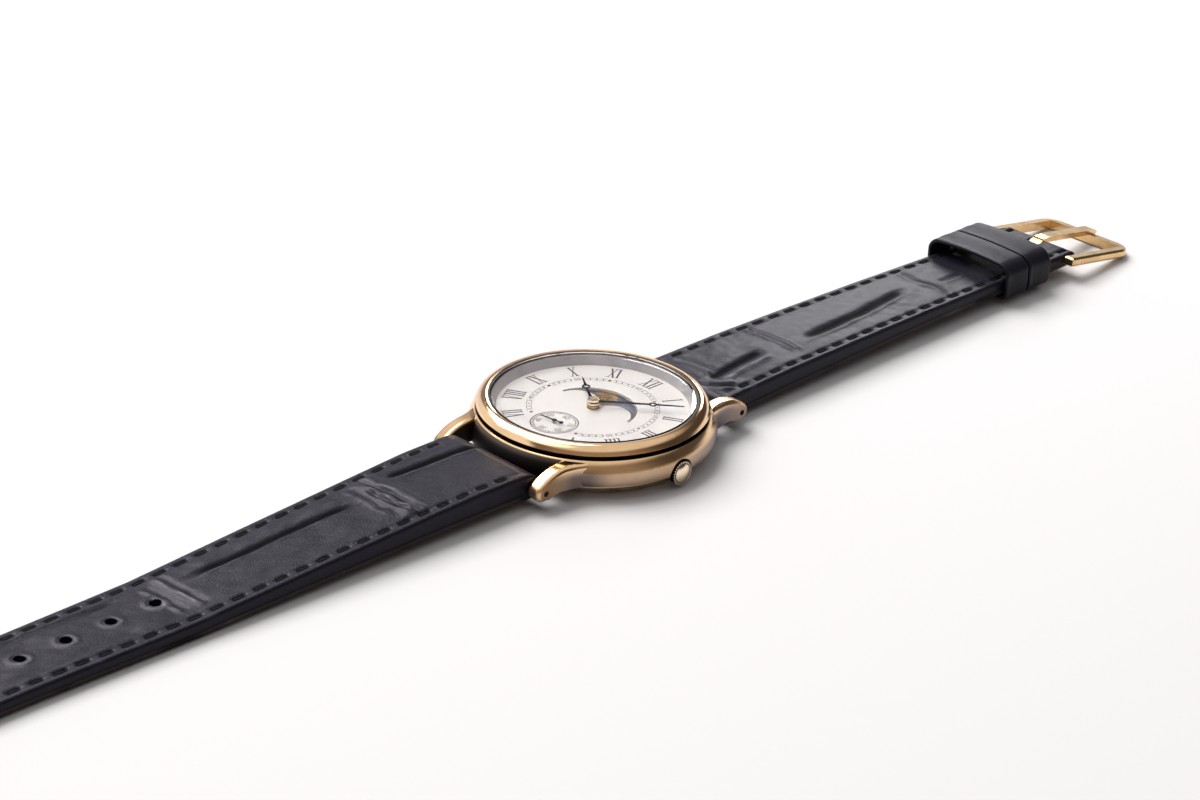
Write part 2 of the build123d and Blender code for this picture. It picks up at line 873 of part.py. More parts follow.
def pin_lever(pin, pivot, pin_top):
    """A flat lever that turns on a post, with an upright pin at its end."""
    low = back_floor + lever_lift
    plate = strip(pin, lever_end_radius, pivot, lever_pivot_radius)
    plate -= Pos(*pivot) * Circle(lever_post_radius + run_gap)
    return Pos(0, 0, low) * extrude(plate, lever_thickness) + disc(lever_pin_radius, low, pin_top, *pin)


groove_middle = groove_start + groove_width / 2
clutch_middle = clutch_start + clutch_length / 2
lever_pivot = (groove_middle, lever_arm)
yoke_pivot = (clutch_middle, -yoke_arm)


def setting_lever():
    return pin_lever((groove_middle, 0), lever_pivot, crown_height - groove_radius - face_gap)


def yoke():
    return pin_lever((clutch_middle, 0), yoke_pivot, crown_height - clutch_groove_radius - face_gap)


def main_plate():
    """The plate that carries every wheel, with its pillars, posts and pockets."""
    body = disc(movement_radius, plate_low, plate_high)
    for x, y in bridge_screws:
        body += disc(pillar_radius, bridge_high, plate_low, x, y)
        body -= disc(screw_radius, bridge_high - overrun, plate_high - face_gap, x, y)
    for x, y in board_screws:
        body += disc(pillar_radius, board_high, plate_low, x, y)
        body -= disc(screw_radius, board_high - overrun, plate_high - face_gap, x, y)
    for pivot in (lever_pivot, yoke_pivot):
        body += disc(lever_post_radius, back_floor + lever_lift - face_gap, plate_low, *pivot)
    body -= disc(centre_arbor_radius + run_gap, plate_low - overrun, plate_high + overrun)
    body -= disc(arbor_radius + run_gap, plate_low - overrun, plate_high + overrun, *fourth_place)
    for place in (third_place, fifth_place, rotor_place):
        body -= disc(arbor_radius + run_gap, plate_low - overrun, bar_end + face_gap, *place)
    for place in (minute_wheel_place, inner_idler_place, outer_idler_place, finger_place):
        body -= disc(post_radius + run_gap, plate_high - post_depth - face_gap, plate_high + overrun, *place)
    body -= disc(setting_arbor_radius + run_gap, plate_low - overrun, plate_high + overrun, *setting_place)
    foot_hole_floor = dial_low - dial_foot_depth - seat_gap
    for x, y in dial_foot_places():
        body -= disc(dial_foot_radius + seat_gap, foot_hole_floor, plate_high + overrun, x, y)
    battery_top = back_floor + battery_lift + battery_height + face_gap
    body -= disc(battery_radius + face_gap, plate_low - overrun, battery_top, battery_x, battery_y)
    clutch_top = crown_height + clutch_radius + face_gap
    pocket = (clutch_start - clutch_travel - face_gap, clutch_start + clutch_length + crown_pull)
    side = clutch_radius + face_gap
    body -= block(pocket, (-side, side), (plate_low - overrun, clutch_top))
    return body - coil_shape(coil_radius + face_gap, coil_margin - face_gap)


board_low = back_floor + board_lift
board_high = board_low + board_thickness
coil_angle = atan2(coil_end[1] - coil_start[1], coil_end[0] - coil_start[0])
coil_length = hypot(coil_end[0] - coil_start[0], coil_end[1] - coil_start[1])
core_low = stator_high
coil_height = core_low + core_thickness / 2


def coil_shape(radius, margin):
    """A cylinder on the coil's axis that stops a margin short of both pads."""
    drum = rod(radius, margin, coil_length - margin, z=0)
    return Pos(coil_start[0], coil_start[1], coil_height) * Rot(0, 0, degrees(coil_angle)) * drum


def coil_core():
    face = strip(coil_start, core_width / 2, coil_end, core_width / 2)
    face += Pos(*coil_start) * Circle(stator_pad_radius)
    face += Pos(*coil_end) * Circle(stator_pad_radius)
    return Pos(0, 0, core_low) * extrude(face, core_thickness)


def coil_winding():
    return coil_shape(coil_radius, coil_margin) - coil_core()


def stator():
    bend = (
        coil_start[0] - stator_offset * sin(coil_angle),
        coil_start[1] + stator_offset * cos(coil_angle),
    )
    face = strip(coil_start, stator_pad_radius, bend, stator_pad_radius)
    face += strip(bend, stator_pad_radius, rotor_place, stator_ring_radius)
    face += strip(rotor_place, stator_ring_radius, coil_end, stator_pad_radius)
    face -= Pos(*rotor_place) * Circle(stator_hole_radius)
    return Pos(0, 0, stator_low) * extrude(face, stator_thickness)


def train_bridge():
    """The bridge that holds the lower pivots, branching out to its three screws."""
    hub = third_place
    places = (centre_place, fourth_place, fifth_place, rotor_place) + bridge_screws
    face = Circle(bridge_round)
    for place in places:
        face += strip(hub, bridge_round, place, pillar_radius)
    for place in (third_place, fourth_place, fifth_place, rotor_place):
        face -= Pos(*place) * Circle(arbor_radius + run_gap)
    face -= Circle(centre_arbor_radius + run_gap)
    for place in bridge_screws:
        face -= Pos(*place) * Circle(screw_radius)
    return Pos(0, 0, bridge_low) * extrude(face, bridge_thickness)


def circuit_board():
    face = Circle(board_radius)
    span = 2 * board_radius
    face -= Pos(board_corner_x - span, 0) * Rectangle(2 * span, 2 * span)
    face -= Pos(0, board_corner_y - span) * Rectangle(2 * span, 2 * span)
    for place in board_screws:
        face -= Pos(*place) * Circle(screw_radius)
    face -= Pos(*lever_pivot) * Circle(lever_pivot_radius + 2 * face_gap)
    board = Pos(0, 0, board_low) * extrude(face, board_thickness)
    half = chip_size / 2
    span_x = (chip_x - half, chip_x + half)
    span_y = (chip_y - half, chip_y + half)
    return board + block(span_x, span_y, (board_high, board_high + chip_height))


def quartz_resonator():
    drum = rod(resonator_radius, -resonator_length / 2, resonator_length / 2, z=0)
    height = board_high + resonator_radius
    return Pos(resonator_x, resonator_y, height) * Rot(0, 0, resonator_turn) * drum


def slotted_screw(x, y, seat):
    """A screw that is driven from the back, its head under the seat."""
    shank_top = plate_low + pivot_depth
    head = disc(screw_head_radius, seat - screw_head_height, seat, x, y)
    reach = screw_head_radius + overrun
    slot_low = seat - screw_head_height - overrun
    slot = block(
        (x - reach, x + reach),
        (y - screw_slot / 2, y + screw_slot / 2),
        (slot_low, seat - screw_head_height / 2),
    )
    return head - slot + disc(screw_radius, seat, shank_top, x, y)


def movement_screws():
    screws = [slotted_screw(x, y, bridge_low) for x, y in bridge_screws]
    return Part() + screws + [slotted_screw(x, y, board_low) for x, y in board_screws]


def battery():
    low = back_floor + battery_lift
    return disc(battery_radius, low, low + battery_height, battery_x, battery_y)


def battery_clamp():
    low = back_floor + battery_lift - face_gap / 2 - clamp_thickness
    turn = degrees(atan2(battery_y, battery_x))
    strap = Pos(battery_x, battery_y) * Rot(0, 0, turn) * Rectangle(clamp_width, clamp_length)
    return Pos(0, 0, low) * extrude(strap & Circle(movement_radius), clamp_thickness)


def movement_holder():
    """The plastic ring between the movement and the case, notched for the stem and the snap rim."""
    low = case_foot + back_snap_rise + face_gap
    body = ring(movement_radius + face_gap, holder_radius, low, dial_low - face_gap)
    foot_top = low + overrun
    inner = case_bore_radius - face_gap - back_wall - face_gap
    body += ring(movement_radius + face_gap, inner, back_floor + face_gap, foot_top)
    return body - rod(stem_radius + 2 * face_gap, movement_radius - overrun, holder_radius + overrun)


def crown_tube():
    body = rod(tube_radius, tube_start, tube_end)
    return body - rod(tube_bore_radius, tube_start - overrun, tube_end + overrun)


def on_crown_axis(shape, x):
    return Pos(x, 0, crown_height) * Rot(0, 90, 0) * shape


def crown():
    module = 2 * crown_radius / crown_flutes
    rim = on_crown_axis(gear(crown_flutes, module, 0, height=crown_rim_length), crown_start)
    ball_radius = (crown_face_radius**2 + crown_dome_rise**2) / (2 * crown_dome_rise)
    ball = Pos(0, 0, crown_dome_rise - ball_radius) * Rot(90, 0, 0) * Sphere(ball_radius)
    dome = disc(crown_face_radius, 0, crown_dome_rise + overrun) & ball
    body = rim + on_crown_axis(dome, crown_start + crown_rim_length)
    cavity = rod(crown_cavity_radius, crown_start - overrun, crown_start + crown_cavity_depth)
    cavity -= rod(tube_bore_radius - 2 * seat_gap, crown_start, crown_start + crown_cavity_depth)
    return body - cavity - rod(stem_radius, crown_start - overrun, crown_start + crown_cavity_depth)


def stem():
    shaft = rod(stem_radius, stem_start, crown_start + crown_cavity_depth)
    band = rod(stem_radius + overrun, groove_start, groove_start + groove_width)
    return shaft - (band - rod(groove_radius, groove_start, groove_start + groove_width))


def stem_gasket():
    start, end = stem_gasket_start, stem_gasket_start + stem_gasket_length
    outer = rod(tube_bore_radius - seat_gap, start, end)
    return outer - rod(stem_radius + seat_gap, start - overrun, end + overrun)


def spring_bar(side):
    """A bar with a thin sprung pin at each end, one in each lug."""
    half = strap_width / 2
    y = side * lug_hole_reach
    body = rod(bar_radius, -half, half, y=y, z=lug_hole_height)
    return body + rod(bar_tip_radius, -bar_tip_reach, bar_tip_reach, y=y, z=lug_hole_height)


def strap_section(reach, low, edge, crest, half):
    """A closed outline across the strap, flat below and crowned above."""
    sides = Polyline((-half, reach, edge), (-half, reach, low), (half, reach, low), (half, reach, edge))
    return make_face([sides, ThreePointArc((half, reach, edge), (0, reach, crest), (-half, reach, edge))])


def strap_levels(shares, block_shares, length):
    """Distance from the spring bar, underside and thickness at each station."""
    first = [(strap_block_length, block_shares[0] * strap_rest, block_shares[1] * strap_pad)]
    return first + [(s * length, low * strap_rest, thick * strap_pad) for s, low, thick in shares]


def strap_half(distance):
    """Half the strap's width at a distance from the spring bar, past the taper's end as well."""
    share = min(distance / strap_taper_length, 1)
    return (strap_width + (strap_end_width - strap_width) * share) / 2


def strap_upper(levels):
    """The padded leather: its stations, and the fold that wraps the spring bar."""
    half = strap_width / 2
    sections = []
    for distance, low, thick in levels:
        crest = low + thick
        edge = crest - strap_crown_share * thick
        sections.append(strap_section(lug_hole_reach + distance, low + lining_thickness, edge, crest, half))
    body = loft(sections, ruled=True)
    distance, low, thick = levels[0]
    edge = low + thick * (1 - strap_crown_share)
    slope = strap_end_radius * fold_share
    fold = [
        (distance, low),
        (distance, edge),
        (distance / 2, edge),
        (-slope, lug_hole_height + slope),
        (0, lug_hole_height),
        (0, lug_hole_height - strap_end_radius),
    ]
    side = make_face(Polyline(*[(0, lug_hole_reach + d, z) for d, z in fold], close=True))
    body += extrude(side, half, dir=(1, 0, 0), both=True)
    return body + rod(strap_end_radius, -half, half, y=lug_hole_reach, z=lug_hole_height)


def strap_lining(levels):
    half = strap_width / 2
    corners = []
    for distance, low, thick in levels:
        corners.append((0, lug_hole_reach + distance, low))
    for distance, low, thick in reversed(levels):
        corners.append((0, lug_hole_reach + distance, low + lining_thickness))
    side = make_face(Polyline(*corners, close=True))
    return extrude(side, half, dir=(1, 0, 0), both=True)


def strap_plan(length, inset, tip_round):
    """The strap seen from above, from the spring bar to its end, drawn in by the inset."""
    start = lug_hole_reach - strap_end_radius
    shoulder = length - tip_round
    half = strap_half(shoulder) - inset
    side = [(strap_half(0) - inset, start), (half, lug_hole_reach + min(shoulder, strap_taper_length))]
    if strap_taper_length < shoulder:
        side.append((half, lug_hole_reach + shoulder))
    other = [(-x, y) for x, y in reversed(side)]
    if tip_round:
        tip = ThreePointArc(side[-1], (0, lug_hole_reach + length - inset), other[0])
    else:
        tip = Line(side[-1], other[0])
    face = make_face([Polyline(*side), tip, Polyline(*other), Line(other[-1], side[0])])
    return extrude(face, strap_rest + 2 * strap_pad)


tail_levels = strap_levels(tail_shares, tail_block_shares, tail_length)
head_levels = strap_levels(head_shares, head_block_shares, buckle_length)
half_turn = Rot(0, 0, 180)


def tail_holes():
    holes = []
    for number in range(tail_hole_count):
        reach = lug_hole_reach + tail_length - tail_hole_from_tip - number * tail_hole_pitch
        holes.append(disc(tail_hole_radius, -overrun, strap_pad + overrun, y=reach))
    return Part() + holes


def bar_tunnel():
    half = strap_width / 2 + overrun
    return rod(bar_radius + face_gap, -half, half, y=lug_hole_reach, z=lug_hole_height)


def holed_strap_upper():
    body = strap_upper(tail_levels) & strap_plan(tail_length, 0, tail_round)
    return half_turn * (body - tail_holes() - bar_tunnel())


def holed_strap_lining():
    body = strap_lining(tail_levels) & strap_plan(tail_length, lining_inset, tail_round)
    return half_turn * (body - tail_holes() - bar_tunnel())


buckle_reach_y = lug_hole_reach + buckle_length
buckle_fold_radius = head_levels[-1][2] / 2
buckle_bar_height = head_levels[-1][1] + buckle_fold_radius
buckle_half = strap_half(buckle_length)


def buckle_tunnel():
    """The bore for the buckle's bar, with the slot that the tongue turns in."""
    half = strap_width / 2
    bore = rod(buckle_bar_radius + seat_gap, -half, half, y=buckle_reach_y, z=buckle_bar_height)
    slot_y = (buckle_reach_y - slot_length, buckle_reach_y + buckle_fold_radius + overrun)
    return bore + block((-slot_width / 2, slot_width / 2), slot_y, (-overrun, strap_pad + overrun))


def buckle_strap_upper():
    plan = strap_plan(buckle_length, 0, 0)
    body = strap_upper(head_levels) & plan
    body += rod(buckle_fold_radius, -buckle_half, buckle_half, y=buckle_reach_y, z=buckle_bar_height)
    return body - buckle_tunnel() - bar_tunnel()


def buckle_strap_lining():
    body = strap_lining(head_levels) & strap_plan(buckle_length, lining_inset, 0)
    fold = rod(buckle_fold_radius, -strap_width, strap_width, y=buckle_reach_y, z=buckle_bar_height)
    return body - fold - buckle_tunnel()


fixed_keeper_start = buckle_reach_y - keeper_from_bar
free_keeper_start = fixed_keeper_start - keeper_space - free_keeper_width
keeper_half = strap_half(free_keeper_start - free_keeper_travel - lug_hole_reach) + keeper_side_gap


def keeper(start, width):
    """A leather loop round the strap, with room above it for the strap's other end."""
    height = keeper_top - keeper_lift
    outer = RectangleRounded(2 * (keeper_half + keeper_wall), height, keeper_round)
    inner = Rectangle(2 * keeper_half, height - 2 * keeper_wall)
    face = Plane.XZ * (outer - inner)
    return Pos(0, start + width, (keeper_lift + keeper_top) / 2) * extrude(face, width)


def fixed_keeper():
    return keeper(fixed_keeper_start, fixed_keeper_width)


def free_keeper():
    return keeper(free_keeper_start, free_keeper_width)


buckle_inner_half = buckle_half + buckle_leg_gap
buckle_outer_half = buckle_inner_half + buckle_leg
buckle_tilt = degrees(asin((buckle_bar_height - buckle_thickness / 2 - buckle_floor_gap) / buckle_reach))


def at_buckle(shape):
    return Pos(0, buckle_reach_y, buckle_bar_height) * Rot(-buckle_tilt, 0, 0) * shape


def buckle_frame():
    """A U-shaped frame that turns on the buckle's bar and comes down to the table."""
    length = buckle_heel + buckle_reach + buckle_rail
    middle = buckle_reach + buckle_rail - length / 2 - buckle_rail / 2
    outer = Pos(0, middle) * RectangleRounded(2 * buckle_outer_half, length, buckle_round)
    heel = block(
        (-buckle_outer_half, buckle_outer_half),
        (middle - length / 2, middle - length / 2 + buckle_round),
        (0, buckle_thickness),
    )
    frame = extrude(outer, buckle_thickness) + heel
    middle_height, band = buckle_thickness / 2, buckle_thickness / 4
    rims = frame.edges().filter_by(lambda e: abs(e.center().Z - middle_height) > band)
    frame = fillet(rims, buckle_edge_round)
    inner_end = buckle_reach - buckle_rail / 2
    frame -= block(
        (-buckle_inner_half, buckle_inner_half),
        (middle - length / 2 - overrun, inner_end),
        (-overrun, buckle_thickness + overrun),
    )
    frame = Pos(0, 0, -buckle_thickness / 2) * frame
    half = buckle_outer_half + overrun
    frame -= rod(buckle_bar_radius + run_gap, -half, half, z=0)
    return at_buckle(frame)


def buckle_bar():
    half = buckle_outer_half - seat_gap
    return rod(buckle_bar_radius, -half, half, y=buckle_reach_y, z=buckle_bar_height)


def buckle_tongue():
    """A bar that hooks round the buckle's bar and rests on the far rail."""
    half = tongue_width / 2
    low = buckle_thickness / 2 + face_gap
    reach = buckle_reach + buckle_rail / 2
    outline = [
        (0, low - tongue_rise),
        (0, low + tongue_thickness - tongue_rise),
        (buckle_rail, low + tongue_thickness),
        (reach - tongue_thickness, low + tongue_thickness),
        (reach, low + tongue_thickness / 2),
        (reach - tongue_thickness / 2, low),
        (buckle_rail, low),
    ]
    profile = make_face(Polyline(*[(0, y, z) for y, z in outline], close=True))
    arm = extrude(profile, half, dir=(1, 0, 0), both=True)
    body = arm + rod(tongue_ring_radius, -half, half, z=0)
    return at_buckle(body - rod(buckle_bar_radius + run_gap, -half - overrun, half + overrun, z=0))


nodes = {
    "case_middle": case_middle(),
    "bezel": bezel(),
    "crystal": crystal(),
    "crystal_gasket": crystal_gasket(),
    "reflector_ring": reflector_ring(),
    "dial": dial(),
    "dial_feet": dial_feet(),
    "hour_dots": hour_dots(),
    "hour_hand": hour_hand(),
    "hour_collet": hour_collet(),
    "minute_hand": minute_hand(),
    "minute_collet": minute_collet(),
    "seconds_hand": seconds_hand(),
    "moon_disc": moon_disc(),
    "moon_jumper": moon_jumper(),
    "moon_inner_idler": moon_idler(inner_idler_place, inner_idler_phase),
    "moon_outer_idler": moon_idler(outer_idler_place, outer_idler_phase),
    "moon_finger_wheel": moon_finger_wheel(),
    "cannon_pinion": cannon_pinion(),
    "minute_wheel": minute_wheel(),
    "hour_wheel": hour_wheel(),
    "setting_wheel": setting_wheel(),
    "main_plate": main_plate(),
    "train_bridge": train_bridge(),
    "movement_screws": movement_screws(),
    "centre_wheel": centre_wheel(),
    "third_wheel": third_wheel(),
    "fourth_wheel": fourth_wheel(),
    "fifth_wheel": fifth_wheel(),
    "rotor": rotor(),
    "stator": stator(),
    "coil_core": coil_core(),
    "coil_winding": coil_winding(),
    "circuit_board": circuit_board(),
    "quartz_resonator": quartz_resonator(),
    "battery": battery(),
    "battery_clamp": battery_clamp(),
    "movement_holder": movement_holder(),
    "case_back": case_back(),
    "case_back_gasket": case_back_gasket(),
    "crown": crown(),
    "crown_tube": crown_tube(),
    "stem": stem(),
    "stem_gasket": stem_gasket(),
    "clutch_wheel": clutch_wheel(),
    "setting_lever": setting_lever(),
    "yoke": yoke(),
    "spring_bar_12": spring_bar(1),
    "spring_bar_6": spring_bar(-1),
    "holed_strap_upper": holed_strap_upper(),
    "holed_strap_lining": holed_strap_lining(),
    "buckle_strap_upper": buckle_strap_upper(),
    "buckle_strap_lining": buckle_strap_lining(),
    "fixed_keeper": fixed_keeper(),
    "free_keeper": free_keeper(),
    "buckle_bar": buckle_bar(),
    "buckle_frame": buckle_frame(),
    "buckle_tongue": buckle_tongue(),
}

for name, shape in nodes.items():
    export_step(shape, f"parts/{name}.step")
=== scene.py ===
"""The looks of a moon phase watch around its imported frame: leather, print, metals, glass, light and camera.

Lengths are in millimetres until a piece's points go into its mesh, and in metres for the floor, the
lamps and the camera. Up is +Z, twelve o'clock is +Y and the crown is +X.
"""

from math import pi

import bmesh
import bpy
import numpy as np
from mathutils import Matrix


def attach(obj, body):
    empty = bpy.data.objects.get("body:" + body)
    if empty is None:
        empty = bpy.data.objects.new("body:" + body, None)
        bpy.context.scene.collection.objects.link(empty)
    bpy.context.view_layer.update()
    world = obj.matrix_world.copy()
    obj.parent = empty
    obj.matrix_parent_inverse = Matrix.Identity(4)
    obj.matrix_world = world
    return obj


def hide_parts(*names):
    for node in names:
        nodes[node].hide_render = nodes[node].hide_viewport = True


MM = 0.001
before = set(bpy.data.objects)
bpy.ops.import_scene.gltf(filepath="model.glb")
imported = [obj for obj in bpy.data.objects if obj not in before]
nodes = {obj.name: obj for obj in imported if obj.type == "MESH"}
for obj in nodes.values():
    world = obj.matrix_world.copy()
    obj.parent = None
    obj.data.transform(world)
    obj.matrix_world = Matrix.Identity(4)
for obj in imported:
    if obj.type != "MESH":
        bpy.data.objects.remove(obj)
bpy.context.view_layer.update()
scene = bpy.context.scene

# The straps, as the frame has them; each station is the distance from the spring bar, the underside's
# height and the thickness
bar_reach = 20.41
bar_height = 3.0
wide_half, narrow_half, taper_length = 8.7, 7.1, 85.0
fold_radius = 1.55
lining_thick, lining_inset, lining_gap = 0.8, 0.15, 0.01
lining_start = (1.8, 1.9)
tail_length, tip_radius = 118.0, 7.2
tail_stations = np.array([
    (1.8, 1.41, 4.1), (10.03, 1.45, 4.1), (20.06, 1.35, 3.69), (40.12, 0.9, 3.08),
    (60.18, 0.35, 2.5), (80.24, 0.45, 2.3), (97.94, 0.49, 2.21), (118.0, 0.0, 2.05),
])
head_length, buckle_fold, buckle_bar_height = 85.2, 1.1685, 3.1405
buckle_fold_start = head_length - np.sqrt(buckle_fold**2 - (buckle_fold - lining_thick) ** 2)
head_stations = np.array([
    (1.8, 1.04, 3.69), (15.34, 1.45, 3.53), (30.67, 1.8, 3.16), (47.71, 2.06, 2.75),
    (66.46, 2.06, 2.42), (85.2, 1.97, 2.34),
])
hole_radius, hole_first, hole_pitch, hole_count = 0.85, 61.2, 7.3, 7
tongue_slot_half, tongue_slot_start, tongue_slot_end = 1.3, 81.6, 88.0
stitch_inset, stitch_pitch, stitch_first = 1.45, 3.62, 4.95
tail_stitch_end, head_stitch_end = 108.0, 79.0
tail_seed, head_seed = 3, 23

# The dial's layout
dial_top, print_lift = 5.46, 0.012
print_height = dial_top + print_lift
track_inner, track_outer = 9.2, 9.9
numeral_foot, numeral_head = 10.7, 13.75
seconds_centre = np.array([0.0, -8.0])
seconds_rings = (3.13, 3.55)
moon_window_centre, moon_window_radius = np.array([0.0, -0.85]), 7.1
window_line = 0.1
moon_disc_top = 4.96


def feed(tree, entry, value):
    """A wire is linked to a node's entry, anything else becomes its set value."""
    if isinstance(value, Wire):
        tree.links.new(value.socket, entry)
    else:
        entry.default_value = value


class Wire:
    """One output of a shader node. Arithmetic on wires adds Math nodes."""

    def __init__(self, tree, socket):
        self.tree, self.socket = tree, socket

    def math(self, operation, first, second=0.0):
        """Adds a Math node and returns its result."""
        node = self.tree.nodes.new("ShaderNodeMath")
        node.operation = operation
        feed(self.tree, node.inputs[0], first)
        feed(self.tree, node.inputs[1], second)
        return Wire(self.tree, node.outputs[0])

    def __add__(self, other):
        return self.math("ADD", self, other)

    def __sub__(self, other):
        return self.math("SUBTRACT", self, other)

    def __rsub__(self, other):
        return self.math("SUBTRACT", other, self)

    def __mul__(self, other):
        return self.math("MULTIPLY", self, other)

    def __pow__(self, other):
        return self.math("POWER", self, other)

    def __abs__(self):
        return self.math("ABSOLUTE", self)

    __radd__ = __add__
    __rmul__ = __mul__


class Finish:
    """A material: its Principled shader, set from socket names, and one method for every other node."""

    def __init__(self, name, sockets):
        self.material = bpy.data.materials.new(name)
        self.material.use_nodes = True
        self.tree = self.material.node_tree
        self.shader = self.tree.nodes["Principled BSDF"]
        self.set(sockets)

    def set(self, sockets):
        """Links or sets the shader's own sockets."""
        for name, value in sockets.items():
            feed(self.tree, self.shader.inputs[name], value)

    def node(self, kind, settings=None, inputs=None, output=0):
        """Adds a node, sets its settings, then its inputs, and returns one of its outputs."""
        node = self.tree.nodes.new(kind)
        for name, value in (settings or {}).items():
            setattr(node, name, value)
        for name, value in (inputs or {}).items():
            feed(self.tree, node.inputs[name], value)
        return Wire(self.tree, node.outputs[output])

    def place(self, output="Object"):
        """Where the shading falls, in the object's own coordinates, or another of that node's outputs."""
        return self.node("ShaderNodeTexCoord", output=output)

    def axes(self, vector):
        """A vector's three parts."""
        split = self.node("ShaderNodeSeparateXYZ", inputs={0: vector})
        outputs = split.socket.node.outputs
        return [Wire(self.tree, outputs[k]) for k in range(3)]

    def fade(self, value, low=0.0, high=1.0):
        """0 below low, 1 above high and a smooth step between."""
        return self.node("ShaderNodeMapRange", {"interpolation_type": "SMOOTHSTEP"},
                         {0: value, 1: low, 2: high})

    def noise(self, size, detail=2.0, vector=None, rough=0.5):
        """Noise whose lumps are about size millimetres across."""
        inputs = {"Scale": 1 / (size * MM), "Detail": detail, "Roughness": rough}
        inputs["Vector"] = vector or self.place()
        return self.node("ShaderNodeTexNoise", inputs=inputs)

    def streaks(self, across, along):
        """Noise drawn out along rings about the watch's axis, for turned and brushed faces."""
        x, y, z = self.axes(self.place())
        radius = (x * x + y * y) ** 0.5
        turn = x.math("ARCTAN2", y, x)
        stretch = along / across
        ring_length = 20 * MM
        vector = self.node("ShaderNodeCombineXYZ", inputs={
            0: radius * stretch, 1: z * stretch, 2: turn * ring_length})
        return self.noise(along, 3.0, vector)

    def mix(self, mask, low, high):
        """The low colour where the mask is 0 and the high one where it is 1."""
        return self.node("ShaderNodeMix", {"data_type": "RGBA"}, {0: mask, 6: low, 7: high}, 2)

    def bump(self, height, depth):
        """Bends the shading as if the face rose by depth millimetres where the height is 1."""
        self.set({"Normal": self.node("ShaderNodeBump", inputs={
            "Height": height, "Distance": depth * MM, "Strength": 1.0})})


def shade(red, green, blue):
    """An opaque colour."""
    return (red, green, blue, 1.0)


def metal(name, colour, dark, rough, grain=0.0):
    """A plated or turned metal: colour and gloss drift a little over the face."""
    finish = Finish(name, {"Metallic": 1.0})
    drift = finish.noise(3.0, 3.0)
    finish.set({
        "Base Color": finish.mix(finish.fade(drift, 0.35, 0.65), dark, colour),
        "Roughness": finish.noise(1.2, 4.0) * (rough * 0.5) + rough * 0.75,
    })
    if grain:
        finish.bump(finish.streaks(0.05, 1.0), grain)
    return finish


gold = shade(0.95, 0.66, 0.38)
gold_deep = shade(0.88, 0.57, 0.3)


def millimetres(finish):
    """Where the shading falls as x, y and z in millimetres."""
    return [axis * (1 / MM) for axis in finish.axes(finish.place())]


# Where the lugs grow from the case (x, y) and how high the crown's middle is
lug_root, crown_height = (12.2, 14.2), 2.42

# Places where the case's finish, its painted shade and its painted highlight change, each as the start and
# the end of the change
shoulder_height, edge_highlight_height = (3.2, 5.9), (1.95, 2.2)
lug_reach, lug_flank_reach = (16.5, 20.0), (0.0, 5.0)
right_side_x, right_side_y = (4.0, 10.0), (-3.0, 13.0)
root_shade_radius, root_shade_height = (0.8, 5.0), (3.8, 5.6)
far_lug_x, far_lug_y = (9.3, 9.8), (-15.0, -13.0)
lug_gap_half, lug_gap_reach, lug_gap_top = (8.9, 9.15), (11.0, 12.5), (5.75, 5.95)
end_wall_radius, crest_shade_radius = (17.9, 18.3), (18.2, 18.7)
groove_height, groove_radius = (5.6, 5.95), (17.45, 17.62)
lug_hole_radius = (0.43, 0.47)
recess_radius, recess_x = (2.1, 2.3), (15.0, 16.0)


def case_hollow_shade(finish, place, facing_up):
    """Masks of the case's painted shade: all of it together (nearly black in the gap between the lugs, the
    groove under the bezel, the lugs' holes, the crown's recess and on the underside), and the end wall in the
    gap alone."""
    x, y, z = place
    radius = (x * x + y * y) ** 0.5
    gap = (1.0 - finish.fade(abs(x), *lug_gap_half)) * finish.fade(abs(y), *lug_gap_reach)
    gap = gap * (1.0 - finish.fade(z, *lug_gap_top))
    groove = finish.fade(z, *groove_height) * (1.0 - finish.fade(radius, *groove_radius))
    from_bar = ((abs(y) - bar_reach) ** 2 + (z - bar_height) ** 2) ** 0.5
    hole = 1.0 - finish.fade(from_bar, *lug_hole_radius)
    from_crown = (y * y + (z - crown_height) ** 2) ** 0.5
    recess = (1.0 - finish.fade(from_crown, *recess_radius)) * finish.fade(x, *recess_x)
    under = 1.0 - finish.fade(facing_up, -0.9, -0.4)
    end_wall = gap * (1.0 - finish.fade(radius, *end_wall_radius))
    return finish.fade(gap + groove + hole + recess + under * 0.6), end_wall


